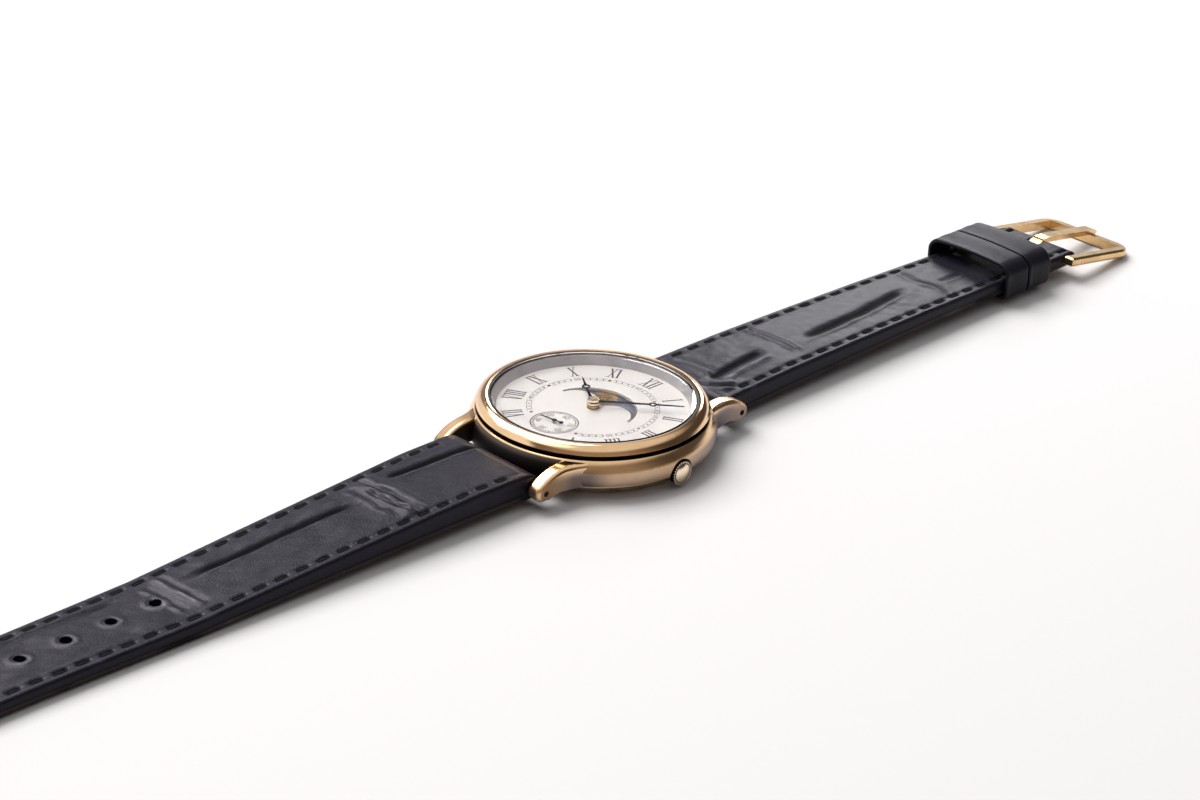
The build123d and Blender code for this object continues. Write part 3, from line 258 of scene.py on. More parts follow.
def case_finish():
    """Polished gold on the shoulder and lugs, fading down the sides to satin bronze, greyed to the right as
    painted shade; painted shade on the case top by the bezel, on the far lug's top and round the lugs' roots,
    a painted highlight along the lower edge, and nearly black painted shade in the hollows."""
    finish = Finish("case_gold", {"Metallic": 1.0})
    x, y, z = place = millimetres(finish)
    facing_out, _, facing_up = finish.axes(finish.place("Normal"))
    side = 1.0 - finish.fade(facing_up, 0.15, 0.75)
    lower = 1.0 - finish.fade(z, *shoulder_height)
    on_lug = finish.fade(abs(y), *lug_reach)
    # right marks the side between the crown and twelve o'clock, greyed there as painted shade
    right = finish.fade(y, *right_side_y) * finish.fade(x, *right_side_x)
    near_lug = 1.0 - finish.fade(y, *lug_flank_reach) * 0.75
    flank = finish.fade(abs(facing_out), 0.88, 0.97) * on_lug * near_lug
    satin = finish.fade(side * (lower + right * 0.4) * (1.0 - on_lug * 0.5) + flank * 0.7)
    drift = finish.fade(finish.noise(5.0, 2.0), 0.3, 0.7)
    bronze = finish.mix(drift, shade(0.45, 0.31, 0.2), shade(0.52, 0.37, 0.25))
    # Painted shade: greyer bronze on that side
    bronze = finish.mix(right, bronze, shade(0.235, 0.19, 0.18))
    bronze = finish.mix(flank, bronze, shade(0.32, 0.2, 0.115))
    colour = finish.mix(satin, finish.mix(drift, gold_deep, gold), bronze)

    # Painted shade on the sides round the lugs' roots
    from_root = ((x - lug_root[0]) ** 2 + (abs(y) - lug_root[1]) ** 2) ** 0.5
    root_shade = 1.0 - finish.fade(from_root, *root_shade_radius)
    root_shade = side * root_shade * (1.0 - finish.fade(z, *root_shade_height))
    colour = finish.mix(root_shade * 0.85, colour, shade(0.1, 0.085, 0.09))
    # A painted highlight along the bottom edge of the case's sides
    edge_highlight = side * (1.0 - finish.fade(z, *edge_highlight_height)) * (1.0 - on_lug)
    colour = finish.mix(edge_highlight * 0.7, colour, shade(0.75, 0.6, 0.45))
    radius = (x * x + y * y) ** 0.5
    # Painted shade on the case's upward faces next to the bezel
    crest_shade = finish.fade(facing_up, 0.8, 0.97) * (1.0 - finish.fade(radius, *crest_shade_radius)) * 0.75
    colour = finish.mix(crest_shade, colour, shade(0.16, 0.115, 0.1))
    # Painted shade on the tops of the lugs on the far, -x side, with rougher gold there
    far_lug_shade = finish.fade(x * -1.0, *far_lug_x) * (1.0 - finish.fade(y, *far_lug_y))
    far_lug_shade = far_lug_shade * finish.fade(facing_up, 0.2, 0.5)
    colour = finish.mix(far_lug_shade * 0.85, colour, shade(0.12, 0.075, 0.045))

    # dark is painted shade: nearly black in the hollows and browner on the end wall between the lugs
    dark, end_wall = case_hollow_shade(finish, place, facing_up)
    painted_shade_colour = finish.mix(end_wall, shade(0.018, 0.015, 0.015), shade(0.075, 0.058, 0.05))
    worn = satin * 0.2 + dark * 0.25 + far_lug_shade * 0.4 + on_lug * 0.1
    finish.set({
        "Base Color": finish.mix(dark, colour, painted_shade_colour),
        "Roughness": worn + 0.13 + finish.noise(0.6, 4.0) * 0.05,
    })
    finish.bump(finish.streaks(0.04, 1.2) * satin, 0.003)
    return finish


bezel_foot_height, copper_reflection_x = (6.66, 6.84), (5.0, 14.0)


def bezel_finish():
    """Mirror-polished gold, with a painted copper reflection to the left and painted shade where the bezel
    stands in the groove of the case.
    """
    finish = Finish("bezel_gold", {"Metallic": 1.0})
    x, _, z = millimetres(finish)
    # foot is painted shade where the bezel stands in the case's groove
    foot = 1.0 - finish.fade(z, *bezel_foot_height)
    # copper is a painted reflection over the left side
    copper = finish.fade(x * -1.0, *copper_reflection_x)
    drift = finish.fade(finish.noise(6.0, 2.0), 0.3, 0.7)
    colour = finish.mix(copper * 0.7, finish.mix(drift, gold_deep, gold), shade(0.62, 0.4, 0.29))
    finish.set({
        "Base Color": finish.mix(foot, colour, shade(0.02, 0.016, 0.016)),
        "Roughness": finish.noise(1.5, 3.0) * 0.05 + 0.07 + foot * 0.3 + copper * 0.12,
    })
    finish.bump(finish.streaks(0.08, 2.0), 0.0004)
    return finish


crown_back_x, ring_inner_edge, ring_outer_edge = (18.45, 18.6), (1.36, 1.46), (1.56, 1.62)


def crown_finish():
    """Polished gold, with painted shade behind and a ring of painted shade where the fluted rim meets the
    domed face.
    """
    finish = Finish("crown_gold", {"Metallic": 1.0})
    x, y, z = millimetres(finish)
    reach = (y * y + (z - crown_height) ** 2) ** 0.5
    # ring is painted shade where the fluted rim meets the domed face
    ring = finish.fade(reach, *ring_inner_edge) * (1.0 - finish.fade(reach, *ring_outer_edge))
    # back is painted shade behind the crown, in the case's recess
    back = (1.0 - finish.fade(x, *crown_back_x)) * 0.8
    drift = finish.fade(finish.noise(1.5, 3.0), 0.3, 0.7)
    colour = finish.mix(drift, shade(0.8, 0.64, 0.46), shade(0.92, 0.76, 0.57))
    finish.set({
        "Base Color": finish.mix(finish.fade(ring + back), colour, shade(0.025, 0.02, 0.018)),
        "Roughness": finish.noise(0.5, 3.0) * 0.08 + 0.1 + ring * 0.3,
    })
    return finish


def leather_finish(name, base, worn, gloss):
    """Grained leather: paler and glossier where the surface's own ridges are worn, partly as a painted
    highlight, with fine cracks there, and near black as painted shade where the marks sink in folds and
    stitch hollows.
    """
    finish = Finish(name, {
        "Specular IOR Level": 0.16, "Specular Tint": shade(0.88, 0.83, 1.0), "Coat Roughness": 0.25})
    wear_and_shade = finish.node("ShaderNodeAttribute", {"attribute_name": "wear_and_shade"}, output="Fac")
    mottle = finish.noise(1.3, 4.0)
    cracks = finish.fade(finish.noise(0.3, 5.0, rough=0.65), 0.38, 0.6)
    # rubbed_and_highlight: paler where worn, partly a painted highlight
    rubbed_and_highlight = finish.fade(wear_and_shade + (mottle - 0.5) * 0.5, 0.12, 1.05) * (cracks * 0.6 + 0.4)
    # sunk_shade is painted near-black shade in folds and stitch hollows
    sunk_shade = finish.fade(wear_and_shade * -1.0, 0.15, 0.7)
    cells = finish.node("ShaderNodeTexVoronoi", {"feature": "DISTANCE_TO_EDGE"}, {
        "Vector": finish.place(), "Scale": 1 / (0.55 * MM)})
    pores = finish.noise(0.14, 3.0)
    finish.set({
        "Base Color": finish.mix(sunk_shade, finish.mix(rubbed_and_highlight, base, worn), shade(0.001, 0.001, 0.001)),
        "Roughness": gloss + (mottle - 0.5) * 0.14 - rubbed_and_highlight * 0.04 + sunk_shade * 0.4,
        "Coat Weight": 0.05 * (1.0 - sunk_shade) + rubbed_and_highlight * 0.2,
    })
    finish.bump(finish.fade(cells, 0.0, 0.12) * 0.55 + pores * 0.45 - cracks * wear_and_shade * 0.8, 0.025)
    return finish


def glass_finish():
    """Clear glass with a coating that comes and goes a little."""
    finish = Finish("glass", {
        "Base Color": shade(1, 1, 1), "Roughness": 0.0, "IOR": 1.5, "Transmission Weight": 1.0})
    finish.set({"Coat Weight": finish.noise(6.0) * 0.02})
    return finish


def lacquer_finish(name, colour, second, rough, lump, depth=0.0, shine=0.5):
    """A painted, moulded or spun face with a slow drift of colour and a fine orange-peel bump."""
    finish = Finish(name, {"Specular IOR Level": shine})
    drift = finish.fade(finish.noise(lump, 3.0), 0.35, 0.65)
    finish.set({
        "Base Color": finish.mix(drift, colour, second),
        "Roughness": finish.noise(0.7, 3.0) * 0.1 + rough - 0.05,
    })
    if depth:
        finish.bump(finish.noise(0.09, 2.0), depth)
    return finish


def winding_finish():
    """Enamelled wire: fine turns side by side along the coil."""
    finish = Finish("copper_wire", {"Metallic": 1.0})
    wave = finish.node("ShaderNodeTexWave", {"wave_type": "BANDS", "bands_direction": "DIAGONAL"}, {
        "Vector": finish.place(), "Scale": 1 / (0.5 * MM), "Distortion": 0.3})
    finish.set({
        "Base Color": finish.mix(wave, shade(0.35, 0.12, 0.05), shade(0.85, 0.4, 0.2)),
        "Roughness": wave * 0.1 + 0.25,
    })
    finish.bump(wave, 0.02)
    return finish


finishes = {
    "case": case_finish(),
    "bezel": bezel_finish(),
    "crown": crown_finish(),
    "gold_trim": metal("gold_trim", shade(0.95, 0.72, 0.42), shade(0.85, 0.58, 0.3), rough=0.16),
    "collet": metal("collet_gold", shade(0.98, 0.84, 0.66), shade(0.9, 0.72, 0.5), rough=0.26),
    "buckle": metal("buckle_gold", shade(0.78, 0.55, 0.27), shade(0.62, 0.41, 0.19), rough=0.24, grain=0.001),
    "back": metal(
        "case_back_satin", shade(0.72, 0.6, 0.44), shade(0.55, 0.45, 0.35), rough=0.24, grain=0.004),
    "glass": glass_finish(),
    "reflector": lacquer_finish(
        "reflector_silver", shade(0.5, 0.475, 0.49), shade(0.58, 0.55, 0.565), rough=0.3, lump=3.0),
    "dial": lacquer_finish(
        "dial_cream", shade(0.95, 0.905, 0.87), shade(0.975, 0.94, 0.91), rough=0.42, lump=4.0, depth=0.002),
    "moon_blue": lacquer_finish(
        "moon_blue", shade(0.12, 0.13, 0.205), shade(0.17, 0.18, 0.25), rough=0.4, lump=0.8),
    "blued": metal("blued_steel", shade(0.05, 0.07, 0.15), shade(0.03, 0.035, 0.07), rough=0.22),
    "steel": metal("steel", shade(0.6, 0.59, 0.58), shade(0.45, 0.44, 0.44), rough=0.2, grain=0.001),
    "nickel": metal("nickel_plate", shade(0.68, 0.65, 0.6), shade(0.55, 0.53, 0.5), rough=0.28, grain=0.003),
    "brass": metal("brass", shade(0.85, 0.62, 0.28), shade(0.7, 0.48, 0.2), rough=0.24, grain=0.002),
    "copper": winding_finish(),
    "plastic": lacquer_finish(
        "black_plastic", shade(0.012, 0.012, 0.013), shade(0.02, 0.02, 0.022), rough=0.4, lump=2.0,
        depth=0.01),
    "rubber": lacquer_finish(
        "rubber", shade(0.015, 0.015, 0.015), shade(0.025, 0.025, 0.025), rough=0.6, lump=1.0, depth=0.01),
    "board": lacquer_finish(
        "circuit_board", shade(0.02, 0.12, 0.06), shade(0.03, 0.18, 0.08), rough=0.4, lump=1.0, depth=0.01),
    "ink": lacquer_finish(
        "dial_ink", shade(0.028, 0.032, 0.045), shade(0.045, 0.05, 0.065), rough=0.5, lump=1.0),
    "leather": leather_finish("black_leather", shade(0.0055, 0.005, 0.0095), shade(0.075, 0.07, 0.09), 0.42),
    "lining": leather_finish("lining_leather", shade(0.03, 0.025, 0.023), shade(0.07, 0.06, 0.055), 0.55),
    "thread": lacquer_finish(
        "thread", shade(0.003, 0.003, 0.004), shade(0.006, 0.006, 0.008), rough=0.8, lump=0.4, depth=0.03,
        shine=0.08),
}

node_finishes = {
    "case": ("case_middle",),
    "bezel": ("bezel",),
    "crown": ("crown",),
    "buckle": ("buckle_frame", "buckle_tongue", "buckle_bar"),
    "back": ("case_back",),
    "gold_trim": ("hour_dots",),
    "collet": ("hour_collet", "minute_collet"),
    "glass": ("crystal",),
    "reflector": ("reflector_ring",),
    "dial": ("dial",),
    "moon_blue": ("moon_disc",),
    "blued": ("hour_hand", "minute_hand", "seconds_hand"),
    "steel": ("spring_bar_12", "spring_bar_6", "dial_feet", "stem", "clutch_wheel", "setting_lever",
              "yoke", "battery", "battery_clamp", "quartz_resonator", "movement_screws", "rotor", "stator",
              "coil_core", "crown_tube", "moon_jumper"),
    "nickel": ("main_plate", "train_bridge"),
    "brass": ("cannon_pinion", "minute_wheel", "hour_wheel", "setting_wheel", "centre_wheel", "third_wheel",
              "fourth_wheel", "fifth_wheel"),
    "copper": ("coil_winding",),
    "plastic": ("movement_holder", "moon_inner_idler", "moon_outer_idler", "moon_finger_wheel"),
    "rubber": ("crystal_gasket", "case_back_gasket", "stem_gasket"),
    "board": ("circuit_board",),
}
for name, members in node_finishes.items():
    for member in members:
        for entry in nodes[member].material_slots:
            entry.material = finishes[name].material


def grid_faces(rows, columns, ring_rows=False, ring_columns=False):
    """Corner numbers of a grid's faces; a ring's last row or column joins its first."""
    row = np.arange(rows if ring_rows else rows - 1)[:, None]
    column = np.arange(columns if ring_columns else columns - 1)[None, :]
    next_row, next_column = (row + 1) % rows, (column + 1) % columns
    corners = [row * columns + column, row * columns + next_column,
               next_row * columns + next_column, next_row * columns + column]
    return np.stack(np.broadcast_arrays(*corners), -1).reshape(-1, 4)


def link(name, data):
    """Makes an object of a mesh, curve, lamp or camera and puts it into the scene."""
    made = bpy.data.objects.new(name, data)
    scene.collection.objects.link(made)
    return made


def merge(mesh, closed=True):
    """Joins corners that lie on one another and, on a closed piece, turns every face outwards."""
    tidy = bmesh.new()
    tidy.from_mesh(mesh)
    bmesh.ops.remove_doubles(tidy, verts=tidy.verts, dist=0.0005 * MM)
    if closed:
        bmesh.ops.recalc_face_normals(tidy, faces=tidy.faces)
    tidy.to_mesh(mesh)
    tidy.free()


def loose_mesh(name, points, faces):
    """A closed shape in millimetres that belongs to no body, for cutting."""
    mesh = bpy.data.meshes.new(name)
    mesh.from_pydata((points * MM).tolist(), [], faces.tolist())
    merge(mesh)
    return link(name, mesh)


def finish_piece(name, mesh, finish, body):
    """Gives a mesh its finish and makes it a piece that rides with a body."""
    mesh.materials.append(finishes[finish].material)
    piece = link(name, mesh)
    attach(piece, body)
    return piece


def make_piece(name, points, faces, finish, body, slot, closed=True, marks=None):
    """Puts points in millimetres and four-cornered faces into a mesh that rides with a body; marks are each
    point's wear and painted shade."""
    mesh = bpy.data.meshes.new(name)
    faces = np.asarray(faces, np.int32)
    mesh.vertices.add(len(points))
    mesh.vertices.foreach_set("co", (np.asarray(points) * MM).astype(np.float32).ravel())
    mesh.loops.add(faces.size)
    mesh.loops.foreach_set("vertex_index", faces.ravel())
    mesh.polygons.add(len(faces))
    mesh.polygons.foreach_set("loop_start", np.arange(0, faces.size, 4, dtype=np.int32))
    mesh.update(calc_edges=True)
    if marks is not None:
        wear_and_shade = mesh.attributes.new("wear_and_shade", "FLOAT", "POINT")
        wear_and_shade.data.foreach_set("value", marks.astype(np.float32).ravel())
    merge(mesh, closed)
    mesh.polygons.foreach_set("use_smooth", np.ones(len(mesh.polygons), bool))
    return finish_piece(name, mesh, finish, body)


def smooth(value, low, high):
    """0 below low, 1 above high and a smooth step between."""
    share = np.clip((value - low) / (high - low), 0, 1)
    return share * share * (3 - 2 * share)


def hill(distance, width):
    """A bell curve: 1 in its middle and about a third one width away."""
    return np.exp(-(distance / width) ** 2)


def arc(radius, offset):
    """Height of a circle above its middle line, at an offset from its centre; 0 past its ends."""
    return np.sqrt(np.clip(radius**2 - offset**2, 0, None))


def strap_half(s):
    """Half the strap's width, narrowing in a straight line over the taper."""
    return wide_half + (narrow_half - wide_half) * np.clip(s / taper_length, 0, 1)


def from_line(path, x, s):
    """Signed distance to a line of points, and the share of the line's length at the nearest place."""
    path = np.asarray(path, float)
    lengths = np.hypot(*np.diff(path, axis=0).T)
    starts = np.concatenate(([0], np.cumsum(lengths)))
    nearest = np.full(x.shape, np.inf)
    signed, share = np.zeros(x.shape), np.zeros(x.shape)
    for (x0, s0), (x1, s1), length, start in zip(path, path[1:], lengths, starts):
        t = np.clip(((x - x0) * (x1 - x0) + (s - s0) * (s1 - s0)) / length**2, 0, 1)
        off_x, off_s = x - x0 - t * (x1 - x0), s - s0 - t * (s1 - s0)
        distance = np.hypot(off_x, off_s)
        side = np.sign((x1 - x0) * off_s - (s1 - s0) * off_x)
        near = distance < nearest
        nearest = np.where(near, distance, nearest)
        signed = np.where(near, side * distance, signed)
        share = np.where(near, (start + t * length) / starts[-1], share)
    return signed, share


# Each fold of the leather: its line as (across, along) points, its depth and width, and the ridges
# beside it as (offset, rise, width); one wider than swell_width is a swell of the padding, not worn
swell_width = 1.5
tail_folds = (
    (((-2.9, -0.8), (-3.4, 4.5), (-3.5, 10.4), (-3.8, 14.1), (-4.5, 17.6)), 0.55, 0.62,
     ((-1.05, 0.2, 0.45), (1.3, 0.06, 0.6))),
    (((-5.0, 3.0), (-5.4, 9.7), (-6.0, 12.4)), 0.1, 0.7, ()),
    (((-6.9, 20.6), (-4.7, 20.2), (-1.6, 19.8), (1.1, 19.7), (4.2, 19.6), (6.9, 19.0)), 0.3, 0.32,
     ((-0.8, 0.3, 0.36), (0.5, 0.35, 3.0))),
    (((-3.4, 21.6), (-0.9, 21.3), (1.4, 21.4), (3.4, 21.2), (5.6, 20.6)), 0.24, 0.26,
     ((-0.6, 0.24, 0.26), (0.55, 0.14, 0.25))),
    (((-5.6, 22.9), (-2.0, 22.5), (1.6, 22.8), (4.9, 22.2)), 0.16, 0.5, ((0.9, 0.08, 0.4),)),
    (((-6.2, 17.6), (-2.4, 16.9), (1.6, 16.5), (5.8, 16.9)), 0.07, 0.4, ()),
    (((-1.5, 23.6), (-1.9, 28.0), (-2.2, 33.0), (-2.1, 42.0), (-2.3, 50.0), (-2.6, 55.0)), 0.5, 0.55,
     ((-0.95, 0.13, 0.4), (1.8, 0.12, 0.9))),
    (((-5.6, 56.6), (-2.5, 56.3), (1.6, 56.2), (4.6, 55.6)), 0.26, 0.5, ((1.1, 0.3, 0.45),)),
    (((-4.6, 59.6), (-1.8, 59.2), (1.6, 59.3), (4.4, 58.8)), 0.16, 0.6, ((1.0, 0.18, 0.4),)),
    (((-4.0, 63.0), (-4.2, 72.0), (-4.4, 80.0), (-4.1, 90.0)), 0.22, 0.6, ((1.0, 0.06, 0.5),)),
    (((3.3, 33.0), (3.7, 42.0), (3.2, 52.0)), 0.12, 0.8, ()),
    (((-5.4, 93.6), (-1.8, 92.9), (2.2, 93.7), (5.6, 93.0)), 0.2, 0.5, ((-1.0, 0.14, 0.5),)),
    (((3.6, 66.0), (3.9, 78.0), (3.5, 88.0)), 0.14, 0.7, ((-1.0, 0.05, 0.5),)),
    (((-3.8, 96.5), (-3.4, 104.0), (-3.9, 110.5)), 0.18, 0.6, ((1.0, 0.06, 0.5),)),
)
head_folds = (
    (((2.5, 2.2), (1.8, 6.7), (1.5, 10.0), (0.9, 15.6)), 0.55, 0.7, ((-2.0, 0.26, 0.8),)),
    (((-6.8, 3.8), (-3.4, 4.5), (0.2, 4.9), (1.8, 4.2)), 0.2, 0.45, ((-0.9, 0.24, 0.35),)),
    (((1.6, -0.2), (3.6, 0.6), (5.2, 1.8), (6.8, 3.9)), 0.3, 0.45,
     ((0.9, 0.3, 0.5), (-0.9, 0.24, 0.5))),
    (((-6.4, 19.6), (-2.6, 20.1), (1.2, 20.3), (4.8, 19.9)), 0.22, 0.4,
     ((-0.8, 0.2, 0.35), (0.8, 0.16, 0.3))),
    (((1.9, 23.4), (1.7, 31.0), (1.3, 38.5), (0.5, 44.5), (-0.4, 51.5)), 0.42, 0.75,
     ((-1.4, 0.12, 0.5), (1.9, 0.06, 1.2))),
    (((-5.6, 56.0), (-1.6, 55.4), (2.6, 56.2), (5.6, 55.6)), 0.2, 0.5, ((-1.0, 0.14, 0.5),)),
    (((1.2, 58.0), (0.9, 64.0)), 0.18, 0.6, ((-1.0, 0.08, 0.5),)),
)


fold_reach, full_shade_depth, wear_and_highlight_per_rise = 5, 0.5, 2.2


def folds_height(folds, x, s, seed):
    """The folds' depths taken away and the ridges beside them added, with their wear and painted light:
    ridges are rubbed paler, partly as a painted highlight, and a fold gets painted shade, full where it is as
    deep as full_shade_depth."""
    height, wear_and_shade = np.zeros(x.shape), np.zeros(x.shape)
    uneven = np.clip(1 + 0.22 * ripple(x, s, seed + 5, size=3.5), 0.4, 1.6)
    for path, depth, width, ridges in folds:
        along = [point[1] for point in path]
        near = np.nonzero((s > min(along) - fold_reach) & (s < max(along) + fold_reach))
        signed, share = from_line(path, x[near], s[near])
        fade = smooth(share, -0.02, 0.14) * (1 - smooth(share, 0.84, 1.02))
        dip = hill(signed, width) * depth * fade
        height[near] -= dip
        # Painted shade in the fold
        wear_and_shade[near] -= dip / full_shade_depth
        for offset, rise, spread in ridges:
            ridge = hill(signed - offset, spread) * rise * fade * uneven[near]
            height[near] += ridge
            # A narrow ridge is painted paler: partly wear, partly a painted highlight
            if spread < swell_width:
                wear_and_shade[near] += ridge * wear_and_highlight_per_rise
    return height, wear_and_shade


def ripple(x, s, seed, size, count=26):
    """Soft unevenness: a sum of plane waves in seeded directions, about size millimetres long."""
    draw = np.random.default_rng(seed)
    angle, phase = draw.uniform(0, 2 * pi, (2, count))
    wave = 2 * pi / (size * draw.uniform(0.7, 1.6, count))
    total = np.zeros(x.shape)
    for turn, start, rate in zip(angle, phase, wave):
        total += np.sin(rate * (x * np.cos(turn) + s * np.sin(turn)) + start)
    return total / count**0.5


def edge_distance(x, s, length, tip):
    """Distance in from the strap's sides, and from its rounded tip where it has one."""
    side = strap_half(s) - np.abs(x)
    if not tip:
        return side
    centre = length - tip_radius
    return np.where(s > centre, tip_radius - np.hypot(x, s - centre), side)


# The padded leather's edge, sewn channel, hollows under the stitches with their painted shade, swells round
# the holes and the painted highlight on their rims
edge_round, crown_share = 0.5, 0.06
channel_depth, channel_width = 0.1, 0.45
hollow_depth, hollow_width, hollow_length = 0.26, 0.4, (0.8, 1.35)
full_shade_hollow = 0.2
swell_rise, swell_radius, hole_highlight_radius, swell_round = 0.14, 1.4, 1.3, 0.45


def pad_top(x, s, stations, length, tip, folds, seed):
    """Height of the padded leather: a crest along the middle, lower to the sides, a rounded edge,
    a sewn channel with a hollow under each stitch, and the folds."""
    low, thick = (np.interp(s, stations[:, 0], stations[:, k]) for k in (1, 2))
    inside = edge_distance(x, s, length, tip)
    rounding = edge_round - arc(edge_round, np.clip(edge_round - inside, 0, edge_round))
    crown = crown_share * thick * (np.abs(x) / strap_half(s)) ** 2
    channel = channel_depth * hill(inside - stitch_inset, channel_width)
    place = np.mod(s - stitch_first + stitch_pitch / 2, stitch_pitch) - stitch_pitch / 2
    hollow = hollow_depth * hill(inside - stitch_inset, hollow_width)
    hollow *= 1 - smooth(np.abs(place), *hollow_length)
    hollow *= smooth(s, stitch_first - 2, stitch_first - 1)
    height, wear_and_shade = folds_height(folds, x, s, seed)
    keep = smooth(inside, 0.3, 1.8)
    uneven = 0.035 * ripple(x, s, seed, size=7.0) + 0.012 * ripple(x, s, seed + 1, size=2.2)
    # The rounded edge painted paler: partly wear, partly a painted highlight
    edge_wear_and_highlight = 0.2 * hill(inside - 0.3, 0.25)
    wear_and_shade = wear_and_shade * keep + edge_wear_and_highlight + 0.1 * ripple(x, s, seed + 2, size=5.0)
    if tip:
        rim = np.min([np.hypot(x, s - hole_first - k * hole_pitch) for k in range(hole_count)], axis=0)
        # A painted highlight on each hole's rim, on the +x side only
        wear_and_shade += 0.9 * hill(rim - hole_highlight_radius, swell_round) * smooth(x, -0.6, 1.0)
        height += swell_rise * hill(rim - swell_radius, swell_round)
    top = low + thick - crown - rounding - channel - hollow + (height + uneven) * keep
    # The stitch hollows get painted shade
    return top, np.clip(wear_and_shade - hollow / full_shade_hollow, -1, 1.5)


def strap_loops(s, half, top_columns=112, wall_rows=4, floor_columns=8):
    """Across shares of a closed loop round the strap: over the top, down a wall, under and up again."""
    t = np.linspace(-1, 1, top_columns)
    over = 0.8 * t + 0.2 * np.sin(pi * t / 2)
    down = np.linspace(0, 1, wall_rows + 2)[1:-1]
    under = np.linspace(1, -1, floor_columns)
    across = np.concatenate([over, np.ones(wall_rows), under, -np.ones(wall_rows)])
    drop = np.concatenate([np.zeros(top_columns), down, np.ones(floor_columns), down[::-1]])
    x = across[None, :] * half[:, None]
    return x, np.broadcast_to(s[:, None], x.shape), np.broadcast_to(drop[None, :], x.shape)


def strap_piece(name, grid, tip, finish, body, slot):
    """Makes a strap's loops (place, and wear and painted shade) one closed piece: a row drawn in to its own
    middle closes an end, and the round tip closes on its own."""
    first, last = (np.broadcast_to(row.mean(0), row.shape)[None] for row in (grid[0], grid[-1]))
    grid = np.concatenate([first, grid] if tip else [first, grid, last])
    points, wear_and_shade = grid[..., :3].reshape(-1, 3), grid[..., 3].reshape(-1)
    faces = grid_faces(*grid.shape[:2], ring_columns=True)
    return make_piece(name, points, faces, finish, body, slot, marks=wear_and_shade)


def cut(piece, cutter):
    """Takes a closed cutter away from a piece for good."""
    modifier = piece.modifiers.new("cut", "BOOLEAN")
    modifier.object, modifier.operation, modifier.solver = cutter, "DIFFERENCE", "MANIFOLD"
    with bpy.context.temp_override(object=piece, active_object=piece):
        bpy.ops.object.modifier_apply(modifier=modifier.name)
    bpy.data.objects.remove(cutter)


def cutter_rods(places, radius, low, high):
    """Closed upright rods: a ring of points at both ends of each rod, and a middle to close it."""
    sides = 32
    angle = np.linspace(0, 2 * pi, sides + 1)[:-1]
    ring = np.stack([radius * np.cos(angle), radius * np.sin(angle), np.zeros(sides)], 1)
    middle = np.zeros((sides, 3))
    bottom, top = (0, 0, low), (0, 0, high)
    rod = np.concatenate([middle + bottom, ring + bottom, ring + top, middle + top])
    points = (np.asarray(places)[:, None, :] + rod[None]).reshape(-1, 3)
    firsts = np.arange(len(places))[:, None, None] * len(rod)
    faces = firsts + grid_faces(4, sides, ring_columns=True)[None]
    return loose_mesh("cutter", points, faces.reshape(-1, 4))


def cutter_box(x, y, z):
    """A box between two places along each axis."""
    corners = np.array([(a, b, c) for a in x for b in y for c in z], float)
    faces = [(0, 1, 3, 2), (4, 6, 7, 5), (0, 4, 5, 1), (2, 3, 7, 6), (0, 2, 6, 4), (1, 5, 7, 3)]
    return loose_mesh("cutter", corners, np.array(faces))


def strap_rows(length, end, step):
    """Rows along the strap, closer at the spring bar's fold and at the far end."""
    bend = np.linspace(0, pi / 2, 12)
    start = -fold_radius * np.cos(bend)
    middle = np.linspace(0, length, int(length / step))[1:-1]
    finish = length + (end - length) * np.sin(bend)
    return np.unique(np.concatenate([start, lining_start, middle, finish]))


def tip_half(s, length, inset=0.0):
    """Half the holed strap's width, drawn in by an inset: its sides, and a half circle at its tip."""
    past = s - length + tip_radius
    side = strap_half(s) - inset
    return np.where(past > 0, np.minimum(arc(tip_radius - inset, past), side), side)


def strap_upper(name, stations, length, tip, folds, seed, sign, body):
    """The padded leather from the spring bar's fold to the strap's end, over the lining."""
    if tip:
        rows = strap_rows(length - tip_radius, length, step=0.26)
        half = tip_half(rows, length)
    else:
        rows = strap_rows(length, length + buckle_fold, step=0.24)
        half = strap_half(rows)
    x, s, drop = strap_loops(rows, half)
    low = np.interp(s, stations[:, 0], stations[:, 1])
    top, wear_and_shade = pad_top(x, s, stations, length, tip, folds, seed)
    nose, nose_end = bar_height + arc(fold_radius, s), 1.6
    blend = smooth(s, -fold_radius, nose_end)
    top = np.where(s < nose_end, np.minimum(top, nose * (1 - blend) + top * blend), top)
    floor = low + lining_thick * smooth(s, *lining_start)
    floor = np.where(s < 0, bar_height - arc(fold_radius, s), floor)
    if not tip:
        past = arc(buckle_fold, s - length)
        top = np.where(s > length, np.minimum(top, buckle_bar_height + past), top)
        floor = np.where(s > buckle_fold_start, buckle_bar_height - past, floor)
    least = 0.02
    z = np.maximum(top, floor + least) * (1 - drop) + floor * drop
    wear_and_shade = wear_and_shade * (1 - np.minimum(drop * 2, 1))
    grid = np.stack([x, sign * (bar_reach + s), z, wear_and_shade], -1)
    piece = strap_piece(name, grid, tip, "leather", body, "black_leather")
    return piece


